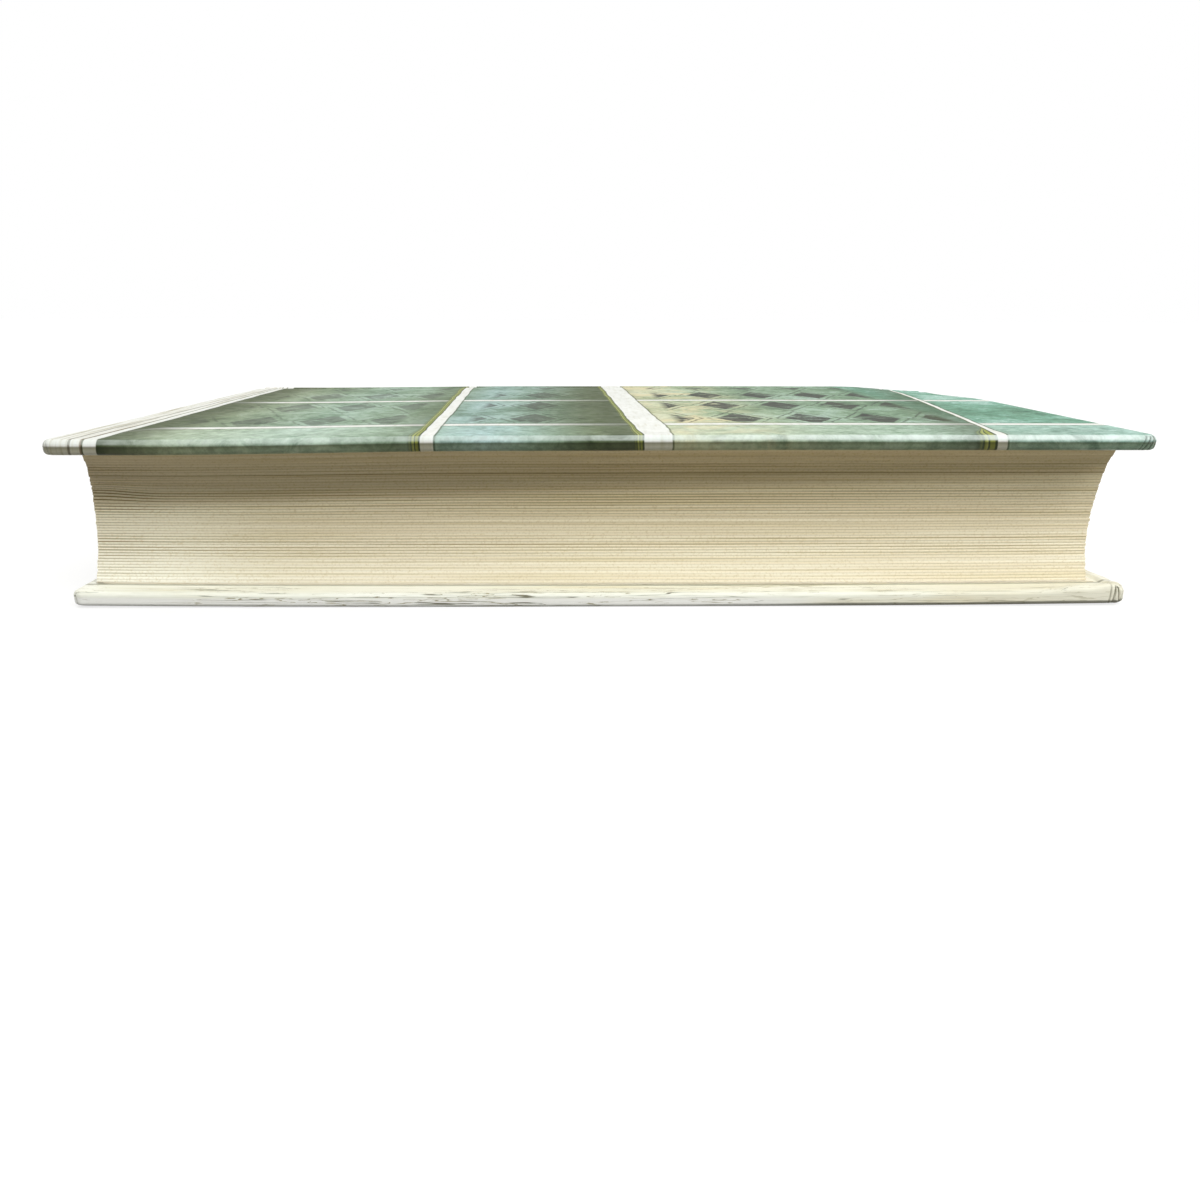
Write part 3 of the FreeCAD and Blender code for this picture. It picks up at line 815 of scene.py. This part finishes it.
# %% Material: printed and laminated paper, front and spine
def printed_front():
    """Coated paper, printed and laminated: a clear print under a soft satin gloss."""
    material, add, shader = new_finish("laminated_print_verdigris", 0.6)
    place, true_x, true_y, z = rest_place(add)
    # the edges of painted things are never ruled, so the layers read a place that wanders a little
    wander = add("Math SUBTRACT", (add("TexNoise", (place, 1 / 14, 4, 0.55)), 0.5))
    x = add("Math MULTIPLY_ADD", (wander, 1.2, true_x))
    y = add("Math MULTIPLY_ADD", (wander, 1.0, true_y))
    colour, blotches = mottled_ground(add, place, x)
    # a few patches to the right of the wide band have faded to cream
    faded = add("MapRange", (add("TexNoise", (place, 1 / 11, 5, 0.7, 2.0, 0.8)), 0.46, 0.60, 0.0, 0.85))
    for outer, inner in ((6, 9), (44, 24)):
        faded = fade(add, faded, x, outer, inner)
    colour = add("Mix RGBA", (faded, colour, "#d8cea6"))
    colour = draw_lozenges(add, colour, place, true_x, true_y)
    # the strip along the fore-edge is printed lighter and bluer, and it is scuffed
    strip = fade(add, add(SMOOTH, (y, -55, -59)), blotches, 0.3, 0.65, 0.15, 0.7, kind="MapRange")
    strip_tint = along_book(add, x, STRIP)
    scuffs = add("MapRange", (add("TexNoise", (place, 1 / 2.0, 5, 0.7)), 0.38, 0.62, 0.64, 1.28))
    colour = add("Mix RGBA", (strip, colour, add("VectorMath SCALE", (strip_tint, scuffs))))

    along = add("Mapping", {"Vector": place, "Scale": (1.0, 0.12, 0.12)})
    streaks = add("TexNoise", (along, 1 / 1.1, 4, 0.6))
    white = add("ValToRGB", (streaks,), [(0.30, "#d9d8cc"), (0.42, "#e2e3dc"), (0.54, WHITE_PAINT)])
    # the first line curves down a little where it meets the band at the tail
    curve = add("MapRange", (true_x, -95, -101.5, 0, 2.6))
    curved_y = add("Math MULTIPLY_ADD", (curve, curve, y))
    for line, line_y in zip(LINES_AT, (curved_y, y)):
        colour = draw_thin_line(add, colour, line_y, line, white)
    # the tail end is white painted wood with brown hairlines between its boards
    along = add("Mapping", {"Vector": place, "Scale": (1.0, 0.03, 0.03)})
    grain = add("TexNoise", (along, 1 / 0.7, 4, 0.65))
    wood = add("ValToRGB", (grain,), [
        (0.36, "#b3af9c"), (0.42, "#d3d1c3"), (0.50, "#e7e7df"), (0.60, WHITE_PAINT)])
    colour = add("Mix RGBA", (add("MapRange", (x, -102.4, -102.8)), colour, wood))
    for hairline, width, tint in HAIRLINES:
        cover = add("MapRange", (away_from(add, x, hairline), width * 0.5, width, 0.8, 0.0))
        colour = add("Mix RGBA", (cover, colour, tint))
    for band in BANDS:
        colour = draw_band(add, colour, x, true_y, white, *band)

    grime = add("MapRange", (blotches, 0.3, 0.7, 0.0, 0.2))
    colour = add("Mix RGBA", (grime, colour, "#7d7f66"))
    # painted highlight: the rounded rim of the front board is painted paler, most of all towards the
    # head
    painted_edge_shading = add("MapRange", (blotches, 0.36, 0.58, 0.55, 1.0))
    for value, outer, inner, least in ((z, 35.55, 35.95, 0.0), (z, 36.76, 36.60, 0.0),
                                       (true_y, 58, 50, 0.0), (true_x, -70, 100, 0.4)):
        painted_edge_shading = fade(add, painted_edge_shading, value, outer, inner, least)
    painted_edge_shading = add("Math MULTIPLY", (painted_edge_shading, 0.7))
    colour = add("Mix RGBA", (painted_edge_shading, colour, "#e2ece7"))
    # painted shade on the side of the front board
    colour = painted_side_shade(add, colour, true_y, z)
    # painted shade in the pleats and dents of the folded corners
    pleat_shade_mask = add("Attribute", attribute_name="pleat_shade", out="Fac")
    colour = add("Mix RGBA", (pleat_shade_mask, colour, "#2f352c"))
    rim = fade(add, add(SMOOTH, (z, 36.72, 36.5)), true_y, 60, 50, kind="MapRange")
    laminate(add, shader, colour, place, rim)
    return material


PRINT_FRONT = printed_front()
print("finish", PRINT_FRONT.name, len(PRINT_FRONT.node_tree.nodes), "nodes")

# %% [markdown]
# ## The printed sheet of the back
# The back is printed to look like old wood under thick white paint. The paint has dried in long thin
# cracks that run along the book, and ochre stains show through it.

# %% Material: printed and laminated paper, back
def printed_back():
    """The same sheet over the back: white painted wood, cracked and yellowed."""
    material, add, shader = new_finish("laminated_print_white_wood", 0.6)
    place, x, y, z = rest_place(add)
    along = add("Mapping", {"Vector": place, "Scale": (0.12, 1, 1)})
    stains = add("TexNoise", (along, 1 / 6, 3))
    colour = add("ValToRGB", (stains,), [
        (0.35, "#fbfcf0"), (0.50, "#f7f8e8"), (0.60, "#efead0"), (0.72, "#d9ca98")])
    along = add("Mapping", {"Vector": place, "Scale": (0.08, 1, 1)})
    brushed = add("TexNoise", (along, 1 / 0.5, 3, 0.6))
    brushed = add("MapRange", (brushed, 0.5, 0.75, 0.0, 0.6))
    at_head = add(SMOOTH, (x, 40, 105, 0.0, 0.6))
    # painted light: the lower half of the board's edge is painted whiter, short of the head
    painted_light_low_edge = fade(add, add(SMOOTH, (z, 2.3, 1.6, 0.0, 0.85)), x, 60, 25)
    colour = coated(add, colour, (brushed, "#e2e1cf"), (at_head, "#e9e4cc"), (painted_light_low_edge, "#fefef8"))
    # two kinds of crack: long thin ones, and short ones in the ochre patches
    for length_mm, height_mm, width, most, tint in ((80, 1.6, 0.017, 0.9, "#5d5a3c"),
                                                    (14, 0.8, 0.024, 0.75, "#8a7f4a")):
        along = add("Mapping", {"Vector": place, "Scale": (height_mm / length_mm, 1, 1)})
        grain = add("TexNoise", (along, 1 / height_mm, 2.5, 0.55, 2.0, 0.3))
        along = add("Mapping", (place, (height_mm, 0, 0), (0, 0, 0), (0.22, 1, 1)))
        broken = add("TexNoise", (along, 1 / 9, 4, 0.7))
        open_by = add("MapRange", (broken, 0.42, 0.66, 0.0, width))
        inside = add("Math SUBTRACT", (open_by, away_from(add, grain, 0.5)))
        cracked = add("MapRange", (inside, -0.002, 0.004, 0.0, most))
        cracked = fade(add, cracked, x, 35, 85, 1.0, 0.45)
        colour = add("Mix RGBA", (cracked, colour, tint))
    plank = add("Math PINGPONG", (y, 17))
    seam = add("MapRange", (plank, 0.2, 0.6, 0.7, 0.0))
    colour = add("Mix RGBA", (seam, colour, "#77745c"))
    # painted shadow: the lower edge is painted dark as the contact shadow by the table, raggedly, and
    # most of all towards the head
    along = add("Mapping", {"Vector": place, "Scale": (0.2, 1, 1)})
    ragged_edge = add("TexNoise", (along, 1 / 3, 4))
    reach = add(SMOOTH, (x, 20, 55, 0.0, -0.3))
    height = add("Math MULTIPLY_ADD", (ragged_edge, -0.7, add("Math ADD", (z, reach))))
    painted_edge_shading = add(SMOOTH, (height, 0.35, 0.0, 0.0, 0.85))
    towards_head = add("MapRange", (x, 10, 50, 0.12, 0.8))
    at_rim = fade(add, towards_head, y, -72.6, -73.2, kind="MapRange")
    painted_edge_shading = add("Math MULTIPLY", (painted_edge_shading, at_rim))
    colour = add("Mix RGBA", (painted_edge_shading, colour, "#3f3f31"))
    # painted shade in the pleats and dents of the folded corners
    pleat_shade_mask = add("Attribute", attribute_name="pleat_shade", out="Fac")
    colour = add("Mix RGBA", (pleat_shade_mask, colour, "#5a5639"))
    rim = fade(add, add(SMOOTH, (z, 0.04, 0.3)), y, 60, 50, kind="MapRange")
    laminate(add, shader, colour, place, rim)
    return material


PRINT_BACK = printed_back()
print("finish", PRINT_BACK.name, len(PRINT_BACK.node_tree.nodes), "nodes")

# %% [markdown]
# ## Wrapping a board
# The sheet goes over the board, round its worn edges, and is folded in for 15 mm on three sides. On
# the fourth it goes down the board's edge into the groove and on to the spine. It starts as a box
# that is open on the spine side. Bevels round it, planes cut it into a grid that can bend, the middle
# of the inside is taken out, and the open end is then drawn down into the groove.

# %% The wrapped boards
OUTER_ROUND = {"front_cover": 1.45 * MM, "back_cover": 0.9 * MM}
INNER_ROUND, CORNER_ROUND = 1.0 * MM, 2.5 * MM
DROP_ROUND, GROOVE_FILLET = 1.1 * MM, 1.0 * MM
GROOVE_LIFT = 0.63 * MM                                # from the leaves' plane to the sheet's outside


def box_mesh(low, high):
    mesh = bmesh.new()
    bmesh.ops.create_cube(mesh, size=1.0)
    bmesh.ops.scale(mesh, verts=mesh.verts, vec=high - low)
    bmesh.ops.translate(mesh, verts=mesh.verts, vec=(low + high) / 2)
    return mesh


def round_edges(mesh, chosen, radius, segments):
    edges = [edge for edge in mesh.edges if chosen(*(vert.co for vert in edge.verts))]
    bmesh.ops.bevel(mesh, geom=edges, offset=radius, offset_type="OFFSET", affect="EDGES",
                    segments=segments, profile=0.5, material=-1)


def drop_path(edge, outer, floor, side, root):
    """The outer face of the sheet from the board's top, down its edge and along the groove."""
    path = []
    for step in range(1, 7):
        angle = math.radians(15 * step)
        path.append((edge - DROP_ROUND + DROP_ROUND * math.sin(angle),
                     outer - side * DROP_ROUND * (1 - math.cos(angle))))
    for step in range(0, 6):
        angle = math.radians(18 * step)
        path.append((edge + GROOVE_FILLET * (1 - math.cos(angle)),
                     floor + side * GROOVE_FILLET * (1 - math.sin(angle))))
    return path + resampled([path[-1], (root, floor)], 0.45 * MM)[1:]


def wrap_mesh(cover, side):
    """The open box of the sheet round one board, drawn down into the groove."""
    low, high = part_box(cover + "_sheet")
    edge = BOARD_EDGE[cover] + SHEET
    start = edge - DROP_ROUND
    outer, inner = (high.z, low.z) if side > 0 else (low.z, high.z)
    mesh = box_mesh(low, Vector((high.x, start, high.z)))
    bmesh.ops.delete(mesh, geom=[face for face in mesh.faces if face.normal.y > 0.9],
                     context="FACES_ONLY")
    round_edges(mesh, lambda a, b: abs(a.z - b.z) > MM and a.y < 0, CORNER_ROUND, 24)
    for plane, radius, segments in ((outer, OUTER_ROUND[cover], 6), (inner, INNER_ROUND, 4)):
        round_edges(mesh, lambda a, b: max(abs(a.z - plane), abs(b.z - plane)) < 1e-6
                    and min(a.y, b.y) < start - 1e-6, radius, segments)
    open_x, open_y = high.x - TURN_IN, low.y + TURN_IN
    cut_grid(mesh, 0, [open_x * part / 13 for part in range(-13, 14)])
    cut_grid(mesh, 1, [open_y] + [low.y + (start - low.y) * part / 16 for part in range(2, 16)])
    near = [0.2 * step for step in range(1, 26)] + [5.6, 6.5, 7.6, 9.5, 12]
    cut_grid(mesh, 0, [sign * (high.x - step * MM) for step in near for sign in (-1, 1)])
    cut_grid(mesh, 1, [low.y + step * MM for step in near])
    cut_grid(mesh, 2, [inner + (outer - inner) * part / 8 for part in range(1, 7)])
    middles = ((face, face.calc_center_median()) for face in mesh.faces)
    inside = [face for face, middle in middles if abs(middle.z - inner) < 1e-6
              and abs(middle.x) < open_x and middle.y > open_y]
    bmesh.ops.delete(mesh, geom=inside, context="FACES")
    bmesh.ops.remove_doubles(mesh, verts=mesh.verts, dist=1e-6)
    # height is how far up a point of the rim lies, 0 at the board's inner face and 1 at its outer one
    rim = [line for line in mesh.edges
           if line.is_boundary and min(vert.co.y for vert in line.verts) > start - 1e-6]
    height = {vert: (vert.co.z - inner) / (outer - inner) for line in rim for vert in line.verts}
    floor = (BLOCK_HIGH if side > 0 else BLOCK_LOW) + side * GROOVE_LIFT
    for y, z in drop_path(edge, outer, floor, side, GROOVE_ROOT[cover]):
        points, rim = grow(mesh, rim)
        neighbours = {vert: [line.other_vert(vert) for line in vert.link_edges] for vert in points}
        height = {vert: next(height[other] for other in others if other in height)
                  for vert, others in neighbours.items()}
        for vert in points:
            vert.co.y, vert.co.z = y, inner + height[vert] * (z - inner)
    return mesh, outer


# each pleat: its place round the corner in mm, its slant, and how deep it is in mm
PLEATS = {
    ("front_cover", 1): ((-3.0, 0.5, 0.22), (-2.1, 0.6, 0.26), (-1.2, 0.45, 0.30), (-0.2, 0.3, 0.30),
                         (0.7, 0.3, 0.24), (1.7, -0.2, 0.2)),
    ("front_cover", -1): ((-1.0, 0.3, 0.08), (0.6, -0.2, 0.10)),
    ("back_cover", 1): ((-3.3, 0.1, 0.2), (-2.4, 0.2, 0.26), (-1.3, -0.25, 0.30), (-0.4, 0.2, 0.3),
                        (0.6, 0.25, 0.24), (1.6, 0.0, 0.2)),
    ("back_cover", -1): ((-0.6, 0.2, 0.10), (0.9, -0.2, 0.08))}
PLEAT_WIDTH = 0.16                                     # mm
CRUMPLE = {("front_cover", 1): 0.30, ("front_cover", -1): 0.08, ("back_cover", 1): 0.32,
           ("back_cover", -1): 0.08}                   # mm


def pinch_corners(mesh, cover, low, high):
    """Sinks the pleats of the two folded corners into the sheet, and marks the pleats and dents for
    painted shade.
    """
    pleat_shade = mesh.verts.layers.float.new("pleat_shade")
    middle_z = (low.z + high.z) / 2
    for sign in (-1, 1):
        centre = Vector((sign * (high.x - CORNER_ROUND), low.y + CORNER_ROUND, 0))
        for vert in mesh.verts:
            out_x, out_y = (vert.co.x - centre.x) * sign, centre.y - vert.co.y
            if min(out_x, out_y) < -4 * MM or max(out_x, out_y) < 0.3 * MM:
                continue
            angle = math.atan2(max(out_x, 0.0), max(out_y, 0.0))
            round_corner = (angle - math.pi / 4) * CORNER_ROUND + min(out_x, 0.0) - min(out_y, 0.0)
            reach = math.hypot(max(out_x, 0.0), max(out_y, 0.0)) / CORNER_ROUND
            outward = Vector((math.sin(angle) * sign, -math.cos(angle), 0))
            for place, slant, depth in PLEATS[cover, sign]:
                centre_line = place + slant * (vert.co.z - middle_z) / MM
                near = math.exp(-((round_corner / MM - centre_line) / PLEAT_WIDTH) ** 2)
                near *= ease(reach, 0.55, 0.9)
                vert.co -= outward * depth * MM * near
                vert[pleat_shade] = min(1.0, vert[pleat_shade] + 3.2 * depth * near)
            crumple = ease(reach, 0.3, 0.8) * ease(abs(round_corner), 4.2 * MM, 1.8 * MM)
            dent = noise.noise(Vector((vert.co.x, vert.co.y, vert.co.z * 0.5)) / (0.9 * MM))
            dent = CRUMPLE[cover, sign] * crumple * (dent + 0.25)
            vert.co -= outward * max(0.0, dent) * MM
            vert[pleat_shade] = min(1.0, vert[pleat_shade] + max(0.0, dent - 0.08) * 2.0)


FOLD_RISE = 1.1 * MM


def lift_turn_in(mesh):
    """The turn-in of the back cover has come up a little at the head corner."""
    for vert in mesh.verts:
        x, y, z = vert.co / MM
        at_head = ease(x, 108.4, 110) * ease(y, -56, -68)
        lifted = max(ease(y, -70.9, -72.2), at_head) * ease(x, 95, 102)
        lifted *= ease(z, 1.2, 3.0) * (1 - 0.45 * ease(x, 108, 112))
        uneven = 0.8 + 0.5 * noise.noise(vert.co / (3 * MM))
        vert.co.z += FOLD_RISE * lifted * uneven


def build_wrap(cover, side, material):
    """The whole wrap of one board: its corners, its lifted fold and its thickness."""
    mesh, outer = wrap_mesh(cover, side)
    low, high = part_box(cover + "_sheet")
    pinch_corners(mesh, cover, low, high)
    if cover == "back_cover":
        lift_turn_in(mesh)
    bmesh.ops.recalc_face_normals(mesh, faces=mesh.faces)
    top = min(mesh.faces, key=lambda face: abs(face.calc_center_median().z - outer))
    if top.normal.z * side < 0:
        bmesh.ops.reverse_faces(mesh, faces=mesh.faces)
    settle(mesh)
    piece = new_piece(cover.replace("cover", "cover_wrap"), mesh, material, sharp_angle=40)
    thicken(piece, "paper", SHEET, -1.0)
    bend(piece, cover)
    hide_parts(cover + "_sheet")
    return piece


build_wrap("front_cover", 1, PRINT_FRONT)
build_wrap("back_cover", -1, PRINT_BACK)

# %% [markdown]
# ## The sheet over the spine
# Between the two grooves the sheet is glued to the thin spine board only. Its outline in the frame is
# already right, so this piece is a copy of that node. The strips in the grooves are cut off, because
# they belong to the two wraps.

# %% The spine's sheet
spine_sheet = new_piece("cover_wrap_spine", settled_copy("spine_sheet", cut_grooves=True), PRINT_FRONT,
                        sharp_angle=40)
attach(spine_sheet, "block")
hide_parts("spine_sheet")

# %% [markdown]
# ## Greyboard
# Greyboard is pressed from waste paper: dull grey-brown, with darker and lighter fibres in it. The
# two boards are wrapped all round, and they carry the same settled shape as the sheet on them.

# %% Material: greyboard, and the two boards
def greyboard():
    """Pulped and pressed board: dull grey-brown and flecked, like coarse felt."""
    material, add, shader = new_finish("greyboard_waste_fibre", 0.92)
    fibre = add("TexNoise", (rest_place(add)[0], 1 / 0.8, 5, 0.7))
    tint = add("ValToRGB", (fibre,), [(0.3, "#6f6a60"), (0.5, "#8d8778"), (0.7, "#a49d8c")])
    dress(add, shader, tint, fibre, 0.3, 0.08)
    return material


GREYBOARD = greyboard()
for cover, side in COVERS:
    node_name = cover.replace("cover", "board")
    low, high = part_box(node_name)
    slack = Vector((0.02, 0.02, 0.02)) * MM
    mesh = box_mesh(low + slack, high - slack)
    round_edges(mesh, lambda a, b: abs(a.z - b.z) > MM and a.y < 0, CORNER_ROUND - SHEET, 5)
    outer = (high - slack).z if side > 0 else (low + slack).z
    round_edges(mesh, lambda a, b: max(abs(a.z - outer), abs(b.z - outer)) < 1e-6,
                OUTER_ROUND[cover] - 0.1 * MM, 4)
    round_edges(mesh, lambda a, b: max(abs(a.z - outer), abs(b.z - outer)) > 2.6 * MM
                and abs(a.z - b.z) < 1e-6, INNER_ROUND - 0.1 * MM, 2)
    cut_grid(mesh, 0, [high.x * part / 14 for part in range(-13, 14)])
    cut_grid(mesh, 1, [low.y + (high.y - low.y) * part / 16 for part in range(1, 16)])
    settle(mesh)
    board = new_piece(node_name + "_core", mesh, GREYBOARD)
    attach(board, cover)
    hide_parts(node_name)

# %% [markdown]
# ## Spine lining and bands
# A kraft paper strip is glued over the gauze, and a thin card stiffens the spine of the case. At each
# end a band of striped cloth is folded over a cord to make a bead. The frame's shape is right for all
# four, so they are copies of its nodes that follow the settled shape.

# %% Materials: kraft paper and band cloth
def kraft():
    """Machine-made kraft: brown, with fibres that lie along the strip."""
    material, add, shader = new_finish("kraft_paper", 0.75)
    along = add("Mapping", {"Vector": rest_place(add)[0], "Scale": (0.2, 1, 1)})
    fibre = add("TexNoise", (along, 1 / 0.6, 4))
    tint = add("ValToRGB", (fibre,), [(0.3, "#a2845c"), (0.5, "#b4976c"), (0.7, "#c2a77c")])
    dress(add, shader, tint, fibre, 0.2, 0.05)
    return material


def band_cloth():
    """Woven cotton: soft green and cream stripes, with threads that catch the light."""
    material, add, shader = new_finish("woven_band_cotton", 0.8, {"Sheen Weight": 0.3})
    z = rest_place(add)[3]
    # stripes 1.2 mm wide across the band, and threads 0.4 mm apart inside them
    stripe = add("Math DIVIDE", (add("Math PINGPONG", (z, 1.2)), 1.2))
    tint = add("ValToRGB", (stripe,), [
        (0.0, "#6f8f7e"), (0.46, "#7c9a8a"), (0.54, "#efe9d8"), (1.0, "#e6dfcb")])
    dress(add, shader, tint, add("Math PINGPONG", (z, 0.2)), 0.8, 1.0)
    return material


KRAFT, BAND_CLOTH = kraft(), band_cloth()
for node_name, piece_name, material, slot in (
        ("spine_liner", "spine_liner_strip", KRAFT, "kraft_liner"),
        ("spine_board", "spine_board_card", GREYBOARD, "greyboard"),
        ("head_band", "head_band_cloth", BAND_CLOTH, "band_cloth"),
        ("tail_band", "tail_band_cloth", BAND_CLOTH, "band_cloth")):
    piece = new_piece(piece_name, settled_copy(node_name), material)
    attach(piece, "block")
    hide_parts(node_name)

# %% [markdown]
# ## Table and light
# The book lies on a plain pale table. The key lamp is a long soft box in front, about 50 degrees up,
# so that the overhang of the front board shades the upper third of the leaves. A small box at the
# side and a narrow tube overhead light the head corner and the front cover, and a box behind keeps
# the spine from going dark. The background is white to the camera, and dim to diffuse light.

# %% The table
TABLE_TINT = "#90908e"
TABLE_LIFT = (0.75, 0.97)                              # how bright it looks near by and far off
TABLE_GAP = 0.05 * MM                                  # below the book, so that the two never flicker


def seen_or_mirrored(add):
    """1 for what is seen straight on, in a gloss or through glass, and 0 for diffuse light."""
    ray = add("LightPath").node.outputs
    seen = add("Math ADD", (ray["Is Camera Ray"], ray["Is Glossy Ray"]))
    return add("Math ADD", (seen, ray["Is Transmission Ray"]))


def table_top():
    """Matt painted board: pale, with hardly any gloss."""
    material, add, shader = new_finish("white_table", 0.9, {
        "Base Color": linear(TABLE_TINT), "Specular IOR Level": 0.1, "Emission Color": (1, 1, 1, 1)})
    # to the camera the table is lifted to white, more so far off, where the lamp hardly reaches
    away = add("VectorMath LENGTH", (add("TexCoord", out="Object"),))
    lift = add("MapRange", (away, 0.2, 1.6, *TABLE_LIFT))
    shader.id_data.links.new(add("Math MULTIPLY", (seen_or_mirrored(add), lift)),
                             shader.inputs["Emission Strength"])
    return material


mesh = bmesh.new()
bmesh.ops.create_grid(mesh, x_segments=8, y_segments=8, size=12.0)
bmesh.ops.translate(mesh, verts=mesh.verts, vec=(0, 0, -TABLE_GAP))
table = new_piece("table", mesh, table_top())

# %% Lamps and the world
def lamp(name, place, aim, width, depth, power):
    """A rectangular soft lamp that shines from place towards aim."""
    light = bpy.data.lights.new(name, "AREA")
    light.shape = "RECTANGLE"
    light.size, light.size_y, light.energy = width, depth, power
    holder = bpy.data.objects.new(name, light)
    holder.rotation_mode = "QUATERNION"
    holder.rotation_quaternion = (Vector(aim) - Vector(place)).to_track_quat("-Z", "Y")
    holder.location = place
    holder.visible_camera = False
    bpy.context.scene.collection.objects.link(holder)
    return holder


lamp("key_box", (0.2, -0.68, 0.85), (0, 0, 0.01), 2.0, 0.5, 13.4)
lamp("side_box", (0.62, -0.50, 0.40), (0.10, 0, 0.02), 0.4, 0.3, 1.8)
lamp("overhead_tube", (0.0, 0.0, 1.1), (0, 0, 0), 1.4, 0.09, 4.0)
lamp("back_box", (-0.25, 0.75, 0.62), (0, 0.03, 0.01), 1.0, 0.3, 2.4)

world = bpy.data.worlds.new("studio")
bpy.context.scene.world = world
world.use_nodes = True
add = partial(add_node, world.node_tree)
strength = add("MapRange", (seen_or_mirrored(add), 0, 1, 0.10, 1.0))
background = world.node_tree.nodes["Background"]
background.inputs["Color"].default_value = (1, 1, 1, 1)
world.node_tree.links.new(strength, background.inputs["Strength"])

scene = bpy.context.scene
scene.view_settings.view_transform = "Standard"
print("view transform", scene.view_settings.view_transform)
